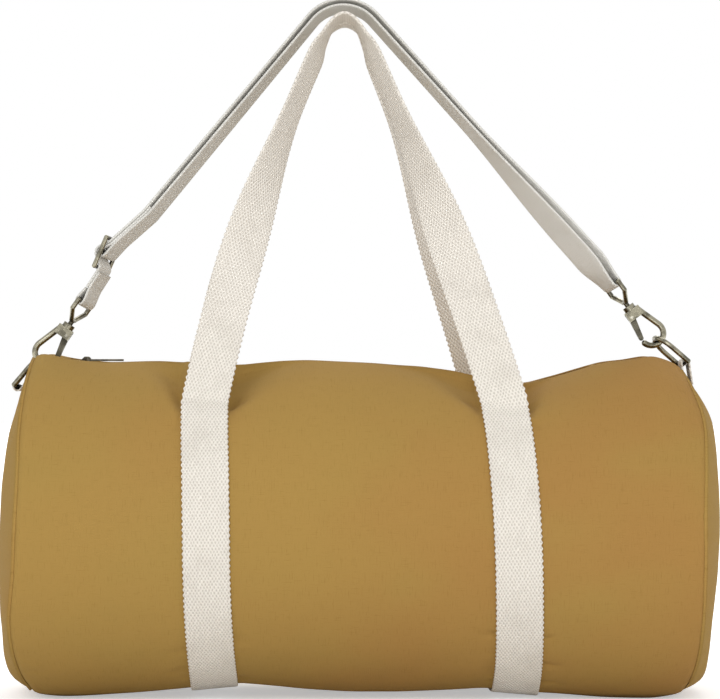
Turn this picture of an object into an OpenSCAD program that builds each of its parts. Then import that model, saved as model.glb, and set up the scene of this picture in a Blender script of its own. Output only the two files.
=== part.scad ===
// A soft barrel bag of canvas with two webbing handles sewn round it, a zipped mouth along its top, a
// D-ring in a webbing tab at each end, and a doubled, adjustable shoulder strap with swivel snap hooks.
// X runs along the barrel, Y across it with the front at -Y, and Z is up from the surface it stands on.

/* [Barrel] */
// Length of the barrel between its two end seams
barrel_len = 508; // [470:1:540]
// Outside diameter of the barrel
barrel_d = 263; // [250:1:276]
// How far each round end bulges out past its seam
end_bulge = 26; // [22:1:32]
// Thickness of the canvas
canvas_t = 2; // [1.2:0.1:2.4]
// How far the bag's weight flattens its underside
base_sink = 5.2; // [3:0.1:8]
// How far the flat strip with the zip lies below the round of the barrel
zip_sink = 4; // [3.8:0.1:6]
// Thickness of the binding over each end seam, inside
binding_t = 1.5; // [0.8:0.1:2]
// Width of that binding
binding_w = 8; // [5:0.5:10]

/* [Carry handles] */
// Width of the handle webbing
webbing_w = 35; // [30:1:38]
// Thickness of the handle webbing
webbing_t = 2.2; // [1.6:0.1:2.8]
// Where the left band crosses the middle of the underside
band_left_x = -113.5; // [-125:0.5:-100]
// Where the right band crosses the middle of the underside
band_right_x = 119; // [105:0.5:130]
// Angle above level where the handles leave the barrel
root_angle = 46.8; // [42:0.1:52]
// Height of the front handle's top above its roots
handle_h = 298; // [280:1:310]
// Half the width of the handles' arch
arch_r = 13; // [10:0.5:18]
// Where the handles and the strap meet, along the barrel
apex_x = -12; // [-20:0.5:20]

/* [Zip] */
// Length of the mouth, for a barrel of the standard length
mouth_len = 464; // [430:1:470]
// Width of the strip that holds the zip
mouth_w = 62; // [56:1:62]
// Width of the two closed rows of teeth
teeth_w = 6.4; // [5:0.1:7]
// Length of the slider
slider_len = 15; // [12:0.5:16]
// Length of the puller from its pin to its tip
puller_len = 28; // [20:0.5:32]

/* [Shoulder strap] */
// Width of the shoulder strap
strap_w = 25; // [20:1:26]
// Thickness of the shoulder strap
strap_t = 2; // [1.4:0.1:2]
// Height of the strap's top above the handles' top
strap_lift = 8.3; // [7.5:0.1:14]
// Radius at which the strap bends over its top
strap_bend_r = 31; // [26:0.5:36]
// Length of the fold that is sewn round the adjuster
fold_len = 50; // [40:1:60]
// How far the adjuster slides up the strap
adjuster_travel = 150; // [100:1:160]

/* [Metal fittings] */
// Thickness of the D-rings' wire
ring_wire_d = 4; // [3:0.1:4.2]
// Inside width of the D-rings
ring_in_w = 26; // [25.6:0.1:30]
// Thickness of the hooks' wire
hook_wire_d = 4.8; // [4:0.1:5]
// Thickness of the wire of the hooks' eyes
eye_wire_d = 3.8; // [3:0.1:4]
// Radius of the middle of the hooks' bow
bow_r = 9.2; // [9:0.1:9.8]
// Length of the gates from their pin to the nose
gate_len = 17.8; // [17:0.1:18]
// Thickness of the adjuster's wire
adjuster_wire_d = 3.6; // [3:0.1:3.8]
// Distance from the adjuster's middle bar to each outer bar
adjuster_pitch = 12; // [11.5:0.1:13]

/* [Hidden] */

// Smoothness of the domed ends, of other large rounds and of wires
dome_fn = 360;
round_fn = 180;
wire_fn = 32;

// Gap between pieces that move past each other, and the play of a pin in its bore
gap = 0.3;
pin_play = 0.05;
overrun = 1;

// How much the rounded corners of bent wire stand out past the wire
corner_swell = 0.05;

// The barrel's section: the underside of the canvas lies on the bands, which lie on the floor
barrel_r = barrel_d / 2;
axis_z = barrel_r - base_sink + webbing_t;
top_z = axis_z + barrel_r - zip_sink;
seam_x = barrel_len / 2;
dome_r = (barrel_r * barrel_r + end_bulge * end_bulge) / (2 * end_bulge);
dome_x = seam_x + end_bulge - dome_r;
binding_setback = 2;

// Slant of each band round the barrel: turned about the upright, then leaned along the barrel
band_left_turn = 2.83;
band_left_lean = -2.03;
band_right_turn = 2.18;
band_right_lean = -3.42;
band_overrun = 2;

// The handles leave the bands at straight roots, which are their hinge axes
root_r = barrel_r + webbing_t + webbing_t / 2 + gap;
root_y = root_r * cos(root_angle);
root_z = axis_z + root_r * sin(root_angle);
arch_front_rise_share = 0.76;
arch_back_rise_share = 0.58;
arch_tilt = 5;
arch_gap = 1;
arch_y = webbing_w / 2 + arch_gap / 2;
spring_z = root_z + handle_h - arch_r * arch_front_rise_share;
bow_left_share = 0.42;
bow_right_share = 0.2;
twist_start_share = 0.25;
twist_end_share = 0.98;
leg_steps = 26;
arch_steps = 12;

// The mouth and its zip, from the top face downwards. The mouth grows with the barrel, and its
// closed left end reaches from under the slider to the puller's tip
standard_len = 508;
slider_back = 16.5;
puller_pin_fore = 3;
mouth_left_end = slider_back + puller_pin_fore + puller_len + gap;
mouth_right_end = 48;
mouth_break = 1.5;
facing_t = 1.4;
facing_y = 5.5;
tape_t = 1;
tape_y = 16;
teeth_up = 1;
teeth_down = 0.6;
teeth_gap = 0.6;
stop_len = 4;
stop_over = 0.4;
mouth_x = mouth_len / 2 * barrel_len / standard_len;
flap_x0 = -mouth_x + mouth_left_end + mouth_break;
flap_x1 = mouth_x - mouth_right_end - mouth_break;
tape_z = top_z - facing_t - tape_t;
teeth_z0 = tape_z - teeth_down;
teeth_z1 = tape_z + tape_t + teeth_up;
right_teeth_len = 21.5;

// The slider runs on the teeth, and the puller hangs on a pin through its crown
plate_t = 1.2;
plate_y = 4.8;
flange_t = 1.2;
neck_y = 0.3;
slider_x = -mouth_x + slider_back;
slider_top_z = teeth_z1 + gap;
crown_half = 1;
crown_r = 2.6;
crown_back = 8.5;
puller_pin_r = 0.9;
puller_hole_play = 0.08;
puller_pin_up = 2.3;
puller_pin_x = slider_x + puller_pin_fore;
puller_pin_z = slider_top_z + plate_t + puller_pin_up;
puller_half = 3.5;
puller_arm_t = 2.2;
puller_down = 1;
puller_up = 0.6;
puller_web = 3.9;

// The D-rings: where each bar lies, how the ring leans up from it, and how far it is rolled
ring_wire_r = ring_wire_d / 2;
ring_half = ring_in_w / 2 + ring_wire_r;
ring_leg = 15;
ring_right_in = 0.9;
ring_right_up = 0.6;
ring_left_out = 12.5;
ring_left_down = 17.4;
ring_right_lean = 139;
ring_left_lean = 50;
ring_roll = 10;
ring_reach = ring_leg + ring_half;

// The seats in the canvas under the rings' bars, and the webbing tabs that hold the bars
tab_w = 25;
tab_t = 1.5;
tab_play = 0.2;
tab_in_r = ring_wire_r + tab_play;
tab_out_r = tab_in_r + tab_t;
seat_drop = tab_out_r + gap;
seat_w = 38;
seat_h = 40;
seat_out = 20;
seat_right_in = 16;
seat_left_in = 31;
seat_turn = 154.5;
dip_in = 15.9;
dip_down = 6.4;
dip_w = 20;
tab_left_len = 19;
tab_right_drop = 17;

// The hooks, measured down from the middle of the eye's bar and out towards the arm
hook_right_angle = 36.3;
hook_left_angle = 34.8;
eye_roll = 18;
eye_half = 14.5;
eye_wire_r = eye_wire_d / 2;
eye_leg = 8;
eye_neck_half = 3;
eye_neck_u = 16.4;
stem_r = 2;
collar_r = 4.8;
collar_u = 20.5;
collar_len = 4;
head_r = 3;
head_t = 1.2;
head_u = collar_u + collar_len + gap / 2;
hook_wire_r = hook_wire_d / 2;
bow_u = 48.8;
bow_v = 2.3;
bow_end_angle = -72;
arm_u = 26;
arm_v = 4.6;
cheek_y = 4.6;
cheek_in_v = 6.2;
cheek_out_v = 6.8;
cheek_u0 = collar_u + collar_len - overrun / 2;
cheek_u1 = 32;
chamber_r = 3.4;
slot_y = 2.6;
gate_u = 29.4;
gate_v = -3;
gate_root_r = 2.8;
gate_tip_r = 1.9;
gate_y = 2.3;
gate_pin_r = 1.2;
gate_drop_angle = 11.5;
spring_t = 0.7;
spring_y = 1;
spring_room = 0.3;
bow_inner_r = bow_r - hook_wire_r;
ring_seat_u = bow_u + bow_r - hook_wire_r - ring_wire_r - gap;
bow_bottom_u = bow_u + bow_r;

// Where the eyes lie, worked back from the rings through the hooks
function side_down(side, angle) = [side * sin(angle), 0, -cos(angle)];
function side_out(side, angle) = [side * cos(angle), 0, sin(angle)];
function hook_angle(side) = side > 0 ? hook_right_angle : hook_left_angle;
function ring_lean(side) = side > 0 ? ring_right_lean : ring_left_lean;
function bar_pos(side) = side > 0
    ? [seam_x - ring_right_in, 0, top_z + ring_right_up]
    : [-seam_x - ring_left_out, 0, top_z - ring_left_down];
function ring_far(side) =
    bar_pos(side) + ring_reach * [cos(ring_lean(side)), 0, sin(ring_lean(side))];
function eye_pos(side) = ring_far(side)
    - ring_seat_u * side_down(side, hook_angle(side))
    - bow_v * side_out(side, hook_angle(side));
function bow_bottom(side) = eye_pos(side)
    + bow_bottom_u * side_down(side, hook_angle(side))
    + bow_v * side_out(side, hook_angle(side));
eye_left = eye_pos(-1);
eye_right = eye_pos(1);

// The strap's middle line: an arc at the top and a straight run down to each side
strand_gap = 1;
strap_apex_y = 2;
roll_apex = 10;
strap_apex_shift = 1;
strap_apex_x = apex_x - strap_apex_shift;
strap_apex_z = root_z + handle_h + strap_lift + webbing_t;
bend_c = [strap_apex_x, 0, strap_apex_z - strap_bend_r];
strand_off = (strap_t + strand_gap) / 2;
loop_play = 0.2;
eye_loop_r = eye_wire_r + loop_play + strap_t / 2;
tail_len = 44;
spread_len = 40;
fold_rest = 5;
knee = eye_left - tail_len * side_down(-1, hook_left_angle);
function bend_angle(side, target) =
    let (d = target - bend_c)
    atan2(d.z, d.x) + side * acos(strap_bend_r / norm([d.x, d.z])) + (side < 0 ? 360 : 0);
angle_left = bend_angle(-1, knee);
angle_right = bend_angle(1, eye_right);
out_left = [cos(angle_left), 0, sin(angle_left)];
out_right = [cos(angle_right), 0, sin(angle_right)];
down_left = [-sin(angle_left), 0, cos(angle_left)];
down_right = [sin(angle_right), 0, -cos(angle_right)];
bend_left = bend_c + strap_bend_r * out_left;
bend_right = bend_c + strap_bend_r * out_right;
run_right = norm(eye_right - bend_right);

// The adjuster, just past the knee of the left run and a little outside it
adjuster_past = 3.6;
adjuster_out = 7;
adjuster_angle = 23.2;
adjuster_wire_r = adjuster_wire_d / 2;
adjuster_half = 15;
adjuster_pos = knee + adjuster_past * down_left + adjuster_out * out_left;
run_left = norm(knee - bend_left) + adjuster_past;
layer_gap = 0.1;
fold_off = -strand_off + strap_t + layer_gap;
over_off = fold_off + strap_t + gap;
blend_len = 45;

// Small vector helpers
function unit(v) = v / norm(v);
function mix(a, b, share) = a + (b - a) * share;
function smooth(share) = let (s = min(max(share, 0), 1)) s * s * (3 - 2 * s);
function across(out, roll) = cos(roll) * [0, 1, 0] - sin(roll) * out;
function outward(out, roll) = cos(roll) * out + sin(roll) * [0, 1, 0];

// A flat ribbon along a path of [point, direction across it], square-edged and closed at both ends
function path_dir(path, i) =
    unit(path[min(i + 1, len(path) - 1)][0] - path[max(i - 1, 0)][0]);
function ribbon_corners(path, i, w, t) =
    let (
        d = path_dir(path, i),
        a = path[i][1],
        half_w = a * (w / 2 / norm(a - (a * d) * d)),
        half_t = unit(cross(d, a)) * t / 2,
        p = path[i][0]
    )
    [p + half_w + half_t, p - half_w + half_t, p - half_w - half_t, p + half_w - half_t];
module ribbon(path, w, t) {
    points = [for (i = [0 : len(path) - 1]) each ribbon_corners(path, i, w, t)];
    last = 4 * (len(path) - 1);
    sides = [
        for (i = [0 : len(path) - 2], k = [0 : 3])
            let (a = 4 * i + k, b = 4 * i + (k + 1) % 4)
            each [[a, b + 4, b], [a, a + 4, b + 4]]
    ];
    ends = [[0, 1, 2], [0, 2, 3], [last, last + 2, last + 1], [last, last + 3, last + 2]];
    polyhedron(points, concat(sides, ends));
}

// A round bar between two points of a frame, with round ends if asked for
module bar(a, b, r, round_ends = true) {
    d = b - a;
    translate(a)
        rotate([0, atan2(norm([d.x, d.y]), d.z), atan2(d.y, d.x)])
            cylinder(h = norm(d), r = r, $fn = wire_fn);
    if (round_ends) {
        translate(a) sphere(r = r + corner_swell, $fn = wire_fn);
        translate(b) sphere(r = r + corner_swell, $fn = wire_fn);
    }
}

// The canvas barrel as a solid, drawn in by an inset
module barrel_outline(inset) {
    intersection() {
        translate([0, axis_z]) circle(r = barrel_r - inset, $fn = round_fn);
        translate([-barrel_d, webbing_t + inset])
            square([2 * barrel_d, top_z - webbing_t - 2 * inset]);
    }
}
module barrel_prism(inset, half_len) {
    translate([-half_len, 0, 0])
        rotate([90, 0, 90])
            linear_extrude(2 * half_len) barrel_outline(inset);
}
module ring_frame(side) {
    translate(bar_pos(side))
        rotate([0, -ring_lean(side), 0])
            rotate([side * ring_roll, 0, 0])
                children();
}
module seat_frame(side) {
    ring_frame(side)
        rotate([0, side > 0 ? seat_turn : 0, 0])
            children();
}
module ring_seat(side, inset) {
    back = side > 0 ? seat_right_in : seat_out;
    front = side > 0 ? seat_out : seat_left_in;
    seat_frame(side)
        translate([-back - inset, -seat_w / 2 - inset, -seat_drop - inset])
            cube([back + front + 2 * inset, seat_w + 2 * inset, seat_h]);
}
module hook_dip(inset) {
    at = bow_bottom(-1);
    translate([at.x - inset, -dip_w / 2 - inset, at.z - dip_down - inset])
        cube([dip_in + 2 * inset, dip_w + 2 * inset, seat_h]);
}
module domed_half(side, inset) {
    far_x = -side * (seam_x + end_bulge + overrun);
    translate([side * dome_x, 0, axis_z]) sphere(r = dome_r - inset, $fn = dome_fn);
    x_slab(min(0, far_x), max(0, far_x));
}
module bag_solid(inset) {
    difference() {
        intersection() {
            barrel_prism(inset, seam_x + end_bulge);
            domed_half(1, inset);
            domed_half(-1, inset);
        }
        ring_seat(-1, inset);
        ring_seat(1, inset);
        hook_dip(inset);
    }
}
module x_slab(x0, x1) {
    translate([x0, -barrel_d, -overrun]) cube([x1 - x0, 2 * barrel_d, 2 * barrel_d]);
}

module barrel_panel() {
    color([0.67, 0.54, 0.28])
        difference() {
            intersection() {
                bag_solid(0);
                x_slab(-seam_x, seam_x);
            }
            bag_solid(canvas_t);
            translate([-mouth_x, -mouth_w / 2, top_z - seat_h])
                cube([2 * mouth_x, mouth_w, 2 * seat_h]);
        }
}
module end_panel(side) {
    far_x = side * (seam_x + end_bulge + overrun);
    color([0.64, 0.51, 0.26])
        difference() {
            intersection() {
                bag_solid(0);
                x_slab(min(side * seam_x, far_x), max(side * seam_x, far_x));
            }
            bag_solid(canvas_t);
        }
}
module seam_binding(side) {
    near = side * (seam_x - binding_setback);
    far = near - side * binding_w;
    color([0.55, 0.45, 0.25])
        difference() {
            intersection() {
                bag_solid(canvas_t);
                x_slab(min(near, far), max(near, far));
            }
            bag_solid(canvas_t + binding_t);
        }
}

// The bands: webbing sewn round the barrel from root to root under the bag
module band(x, turn, lean) {
    color([0.88, 0.86, 0.8])
        intersection() {
            difference() {
                barrel_prism(-webbing_t, seam_x);
                barrel_prism(0, seam_x + overrun);
            }
            translate([x, 0, 0])
                rotate([0, lean, turn])
                    translate([-webbing_w / 2, -barrel_d, -barrel_d])
                        cube([webbing_w, 2 * barrel_d, 2 * barrel_d]);
            translate([-seam_x, -barrel_d, -overrun])
                cube([barrel_len, 2 * barrel_d, root_z + band_overrun + overrun]);
        }
}
function band_x(side, y, z) =
    side < 0
        ? band_left_x - y * tan(band_left_turn) + z * tan(band_left_lean)
        : band_right_x - y * tan(band_right_turn) + z * tan(band_right_lean);

// The handles: each leg rises from its root, leans in to the apex and turns on edge on the way
function leg_point(side, face, share) =
    let (
        root_reach = side * (band_x(side, face * root_y, root_z) - apex_x),
        bow = side < 0 ? bow_left_share : bow_right_share,
        s = 1 - share,
        reach = arch_r + (root_reach - arch_r) * (s + bow * s * share),
        turn = 90 * smooth((share - twist_start_share) / (twist_end_share - twist_start_share)),
        tilt = face < 0 ? arch_tilt : 0
    )
    [
        [apex_x + side * reach, face * mix(root_y, arch_y, share), mix(root_z, spring_z, share)],
        [side * cos(turn), face * sin(turn) * cos(tilt), sin(turn) * sin(tilt)]
    ];
function arch_point(face, angle) =
    let (
        rise = arch_r * (face < 0 ? arch_front_rise_share : arch_back_rise_share),
        tilt = face < 0 ? arch_tilt : 0
    )
    [
        [apex_x - arch_r * cos(angle), face * arch_y, spring_z + rise * sin(angle)],
        [0, face * cos(tilt), sin(tilt)]
    ];
function handle_path(face) = concat(
    [for (i = [0 : leg_steps]) leg_point(-1, face, i / leg_steps)],
    [for (i = [1 : arch_steps - 1]) arch_point(face, 180 * i / arch_steps)],
    [for (i = [leg_steps : -1 : 0]) leg_point(1, face, i / leg_steps)]
);
module handle(face) {
    color(face < 0 ? [0.88, 0.86, 0.8] : [0.84, 0.82, 0.76])
        ribbon(handle_path(face), webbing_w, webbing_t);
}

// The zip's fixed ends and its two opening edges
module facing(face, x0, x1, y1) {
    translate([x0, min(face * facing_y, face * y1), top_z - facing_t])
        cube([x1 - x0, y1 - facing_y, facing_t]);
}
module chain_side(face, x0, x1, teeth_x0, teeth_x1) {
    translate([x0, min(face * teeth_w / 2, face * tape_y), tape_z])
        cube([x1 - x0, tape_y - teeth_w / 2, tape_t]);
    translate([teeth_x0, min(face * teeth_gap, face * teeth_w / 2), teeth_z0])
        cube([teeth_x1 - teeth_x0, teeth_w / 2 - teeth_gap, teeth_z1 - teeth_z0]);
}
module zip_facing(side) {
    x0 = side < 0 ? -mouth_x : mouth_x - mouth_right_end;
    x1 = side < 0 ? -mouth_x + mouth_left_end : mouth_x;
    color([0.62, 0.5, 0.26])
        for (face = [-1, 1])
            facing(face, x0, x1, mouth_w / 2);
}
module zip_chain_end(side) {
    x0 = side < 0 ? -mouth_x : mouth_x - mouth_right_end;
    x1 = side < 0 ? -mouth_x + mouth_left_end : mouth_x;
    teeth_x0 = side < 0 ? x0 + overrun + stop_len : x0;
    teeth_x1 = side < 0 ? x1 : x0 + right_teeth_len;
    color([0.6, 0.5, 0.3])
        for (face = [-1, 1])
            chain_side(face, x0, x1, teeth_x0, teeth_x1);
}
module mouth_facing(face) {
    color([0.65, 0.52, 0.27]) facing(face, flap_x0, flap_x1, mouth_w / 2 - gap);
}
module zip_chain_edge(face) {
    color([0.6, 0.5, 0.3]) chain_side(face, flap_x0, flap_x1, flap_x0, flap_x1);
}
module zip_stops() {
    stop_z0 = teeth_z0 - stop_over;
    stop_h = teeth_z1 - teeth_z0 + 2 * stop_over;
    color([0.5, 0.42, 0.25]) {
        for (face = [-1, 1])
            translate([
                -mouth_x + overrun, min(face * teeth_gap, face * teeth_w / 2), stop_z0
            ])
                cube([stop_len, teeth_w / 2 - teeth_gap, stop_h]);
        translate([mouth_x - mouth_right_end + right_teeth_len, -teeth_w / 2, stop_z0])
            cube([stop_len, teeth_w, stop_h]);
    }
}
module zip_slider() {
    x0 = slider_x - slider_len / 2;
    bottom_z = teeth_z0 - gap - plate_t;
    color([0.55, 0.47, 0.3]) {
        difference() {
            union() {
                translate([x0, -plate_y, slider_top_z]) cube([slider_len, 2 * plate_y, plate_t]);
                translate([x0, -plate_y, bottom_z]) cube([slider_len, 2 * plate_y, plate_t]);
                translate([x0, -neck_y, bottom_z])
                    cube([plate_t, 2 * neck_y, slider_top_z - bottom_z + plate_t]);
                for (face = [-1, 1]) {
                    translate([x0, face > 0 ? plate_y - flange_t : -plate_y, tape_z + tape_t + gap])
                        cube([slider_len, flange_t, slider_top_z - tape_z - tape_t]);
                    translate([x0, face > 0 ? plate_y - flange_t : -plate_y, bottom_z])
                        cube([slider_len, flange_t, tape_z - gap - bottom_z]);
                }
                translate([0, crown_half, 0])
                    rotate([90, 0, 0])
                        linear_extrude(2 * crown_half)
                            polygon([
                                [puller_pin_x - crown_back, slider_top_z + plate_t / 2],
                                [puller_pin_x + crown_r, slider_top_z + plate_t / 2],
                                [puller_pin_x + crown_r, puller_pin_z],
                                [puller_pin_x, puller_pin_z + crown_r],
                                [puller_pin_x - crown_r, puller_pin_z + crown_r]
                            ]);
                translate([puller_pin_x, crown_half, puller_pin_z])
                    rotate([90, 0, 0])
                        cylinder(h = 2 * crown_half, r = crown_r, $fn = wire_fn);
            }
            translate([puller_pin_x, plate_y, puller_pin_z])
                rotate([90, 0, 0])
                    cylinder(h = 2 * plate_y, r = puller_pin_r + puller_hole_play, $fn = wire_fn);
        }
    }
}
module zip_puller() {
    color([0.6, 0.52, 0.34]) {
        translate([puller_pin_x, puller_half, puller_pin_z])
            rotate([90, 0, 0])
                cylinder(h = 2 * puller_half, r = puller_pin_r, $fn = wire_fn);
        for (face = [-1, 1])
            translate([
                puller_pin_x,
                face > 0 ? puller_half - puller_arm_t : -puller_half,
                puller_pin_z - puller_down
            ])
                cube([puller_web + overrun, puller_arm_t, puller_down + puller_up]);
        translate([puller_pin_x + puller_web, -puller_half, puller_pin_z - puller_down])
            cube([puller_len - puller_web - puller_half, 2 * puller_half, puller_down + puller_up]);
        translate([puller_pin_x + puller_len - puller_half, 0, puller_pin_z - puller_down])
            cylinder(h = puller_down + puller_up, r = puller_half, $fn = wire_fn);
    }
}

// The D-rings and the tabs that hold them
module d_ring(side) {
    corner = [0, ring_half, 0];
    leg = [ring_leg, 0, 0];
    color([0.56, 0.5, 0.36])
        ring_frame(side) {
            bar(-corner, corner, ring_wire_r);
            bar(corner, corner + leg, ring_wire_r);
            bar(-corner, -corner + leg, ring_wire_r);
            translate(leg)
                rotate([0, 0, -90])
                    rotate_extrude(angle = 180, $fn = round_fn)
                        translate([ring_half, 0]) circle(r = ring_wire_r, $fn = wire_fn);
        }
}
module tab_bore(side) {
    ring_frame(side)
        translate([0, tab_w, 0])
            rotate([90, 0, 0])
                cylinder(h = 2 * tab_w, r = tab_in_r, $fn = wire_fn);
}
module ring_tab(side) {
    color([0.86, 0.84, 0.78])
        difference() {
            union() {
                ring_frame(side)
                    translate([0, tab_w / 2, 0])
                        rotate([90, 0, 0])
                            cylinder(h = tab_w, r = tab_out_r, $fn = wire_fn);
                if (side < 0) {
                    seat_frame(side)
                        translate([0, -tab_w / 2, -seat_drop])
                            cube([tab_left_len, tab_w, 2 * tab_t]);
                } else {
                    intersection() {
                        translate([dome_x, 0, axis_z]) sphere(r = dome_r + tab_t, $fn = dome_fn);
                        translate([bar_pos(side).x, -tab_w / 2, bar_pos(side).z - tab_right_drop])
                            cube([end_bulge, tab_w, tab_right_drop]);
                    }
                }
            }
            bag_solid(0);
            tab_bore(side);
        }
}

// A frame on one side of the strap: local X points out to the arm, local Z up the hook
module side_frame(pos, side, angle) {
    translate(pos)
        rotate([0, -side * angle, 0])
            mirror([side < 0 ? 1 : 0, 0, 0])
                children();
}
module hook_frame(side) {
    side_frame(eye_pos(side), side, hook_angle(side)) children();
}
module hook_eye(side) {
    corner = [0, eye_half, 0];
    low = [0, eye_half, -eye_leg];
    neck = [0, eye_neck_half, -eye_neck_u];
    flip = [1, -1, 1];
    color([0.55, 0.5, 0.37])
        hook_frame(side) {
            rotate([0, 0, eye_roll]) {
                bar(-corner, corner, eye_wire_r);
                bar(neck, [neck.x, -neck.y, neck.z], eye_wire_r);
                for (face = [-1, 1]) {
                    bar([0, face * corner.y, 0], [0, face * low.y, low.z], eye_wire_r);
                    bar([0, face * low.y, low.z], [0, face * neck.y, neck.z], eye_wire_r);
                }
            }
            translate([0, 0, -head_u - head_t / 2])
                cylinder(h = head_u + head_t / 2 - eye_neck_u, r = stem_r, $fn = wire_fn);
            translate([0, 0, -head_u - head_t])
                cylinder(h = head_t, r = head_r, $fn = wire_fn);
        }
}
module hook_body(side) {
    d = [arm_u - bow_u, arm_v - bow_v];
    arm_end_angle = atan2(d.y, d.x) - acos(bow_r / norm(d));
    arm_end = [bow_v + bow_r * sin(arm_end_angle), 0, -bow_u - bow_r * cos(arm_end_angle)];
    nose = [bow_v + bow_r * sin(bow_end_angle), 0, -bow_u - bow_r * cos(bow_end_angle)];
    color([0.57, 0.51, 0.37])
        hook_frame(side)
            difference() {
                union() {
                    translate([0, 0, -collar_u - collar_len])
                        cylinder(h = collar_len, r = collar_r, $fn = wire_fn);
                    translate([-cheek_in_v, -cheek_y, -cheek_u1])
                        cube([cheek_in_v + cheek_out_v, 2 * cheek_y, cheek_u1 - cheek_u0]);
                    bar([arm_v, 0, -arm_u], arm_end, hook_wire_r);
                    translate([bow_v, 0, -bow_u])
                        rotate([90, 0, 0])
                            rotate([0, 0, -90 + bow_end_angle])
                                rotate_extrude(angle = arm_end_angle - bow_end_angle, $fn = round_fn)
                                    translate([bow_r, 0]) circle(r = hook_wire_r, $fn = wire_fn);
                    translate(nose) sphere(r = hook_wire_r + corner_swell, $fn = wire_fn);
                }
                translate([0, 0, -cheek_u1])
                    cylinder(h = cheek_u1, r = stem_r + pin_play, $fn = wire_fn);
                translate([0, 0, -head_u - head_t - gap])
                    cylinder(h = head_t + gap + gap / 2, r = chamber_r, $fn = wire_fn);
                translate([-cheek_in_v - overrun, -slot_y, -cheek_u1 - overrun])
                    cube([cheek_in_v + overrun + stem_r, 2 * slot_y, cheek_u1 + overrun - head_u]);
                translate([gate_v, cheek_y + overrun, -gate_u])
                    rotate([90, 0, 0])
                        cylinder(h = 2 * (cheek_y + overrun), r = gate_pin_r, $fn = wire_fn);
            }
}
module gate_pin(side) {
    color([0.42, 0.38, 0.28])
        hook_frame(side)
            translate([gate_v, cheek_y, -gate_u])
                rotate([90, 0, 0])
                    cylinder(h = 2 * cheek_y, r = gate_pin_r, $fn = wire_fn);
}
module gate_spring(side) {
    color([0.6, 0.6, 0.6])
        hook_frame(side)
            translate([gate_v, spring_y, -gate_u])
                rotate([90, 0, 0])
                    difference() {
                        cylinder(h = 2 * spring_y, r = gate_pin_r + spring_t, $fn = wire_fn);
                        translate([0, 0, -overrun])
                            cylinder(h = 2 * (spring_y + overrun), r = gate_pin_r, $fn = wire_fn);
                    }
}
module hook_gate(side) {
    tip = [gate_len, 0];
    color([0.6, 0.54, 0.4])
        hook_frame(side)
            translate([gate_v, gate_y, -gate_u])
                rotate([90, 90 + gate_drop_angle, 0])
                    difference() {
                        union() {
                            cylinder(h = 2 * gate_y, r = gate_root_r, $fn = wire_fn);
                            translate(tip) cylinder(h = 2 * gate_y, r = gate_tip_r, $fn = wire_fn);
                            linear_extrude(2 * gate_y)
                                polygon([
                                    [0, gate_root_r], [gate_len, gate_tip_r],
                                    [gate_len, -gate_tip_r], [0, -gate_root_r]
                                ]);
                        }
                        translate([0, 0, -overrun])
                            cylinder(
                                h = 2 * (gate_y + overrun), r = gate_pin_r + pin_play, $fn = wire_fn
                            );
                        translate([0, 0, gate_y - spring_y - spring_room])
                            cylinder(
                                h = 2 * (spring_y + spring_room),
                                r = gate_pin_r + spring_t + spring_room,
                                $fn = wire_fn
                            );
                    }
}

// The strap's two strands, as offsets from its middle line
function mid_left(x) = [
    bend_left + x * down_left + [0, strap_apex_y * (1 - x / run_left), 0],
    out_left,
    mix(roll_apex, eye_roll, x / run_left)
];
function mid_bend(angle) = [
    bend_c + strap_bend_r * [cos(angle), 0, sin(angle)] + [0, strap_apex_y, 0],
    [cos(angle), 0, sin(angle)],
    roll_apex
];
function mid_right(x) =
    let (s = max(0, (x - run_right + spread_len) / spread_len))
    [
        bend_right + x * down_right + [0, strap_apex_y * (1 - x / run_right), 0],
        unit(mix(out_right, side_out(1, hook_right_angle), s)),
        mix(roll_apex, eye_roll, x / run_right)
    ];
function strand(mid, off) = [mid[0] + off * outward(mid[1], mid[2]), across(mid[1], mid[2])];
function eye_wrap(side, from, to, steps) =
    let (
        out = side_out(side, hook_angle(side)),
        down = side_down(side, hook_angle(side)),
        n = outward(out, eye_roll)
    )
    [
        for (i = [0 : steps])
            let (a = mix(from, to, i / steps))
            [eye_pos(side) + eye_loop_r * (cos(a) * n + sin(a) * down), across(out, eye_roll)]
    ];
fixed_x = run_left - fold_len - adjuster_travel - fold_rest;
bend_steps = 14;
run_steps = 9;
spread_steps = 4;
wrap_steps = 8;
fixed_steps = 3;
function right_xs() = concat(
    [for (i = [1 : run_steps]) (run_right - spread_len) * i / run_steps],
    [for (i = [1 : spread_steps - 1]) run_right - spread_len * (1 - i / spread_steps)]
);
function right_off(x) = mix(
    strand_off, eye_loop_r, smooth((x - run_right + spread_len) / spread_len)
);
function strap_path() = concat(
    [
        for (i = [0 : fixed_steps])
            let (s = i / fixed_steps)
            strand(mid_left(fixed_x * (1 - s)), mix(over_off, strand_off, s))
    ],
    [
        for (i = [1 : bend_steps])
            strand(mid_bend(mix(angle_left, angle_right, i / bend_steps)), strand_off)
    ],
    [for (x = right_xs()) strand(mid_right(x), right_off(x))],
    eye_wrap(1, 0, 180, wrap_steps),
    [
        for (i = [len(right_xs()) - 1 : -1 : 0])
            let (x = right_xs()[i])
            strand(mid_right(x), -right_off(x))
    ],
    [
        for (i = [bend_steps : -1 : 1])
            strand(mid_bend(mix(angle_left, angle_right, i / bend_steps)), -strand_off)
    ],
    [for (i = [fixed_steps : -1 : 0]) strand(mid_left(fixed_x * (1 - i / fixed_steps)), -strand_off)]
);
module shoulder_strap() {
    color([0.8, 0.78, 0.74]) ribbon(strap_path(), strap_w, strap_t);
}

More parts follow.
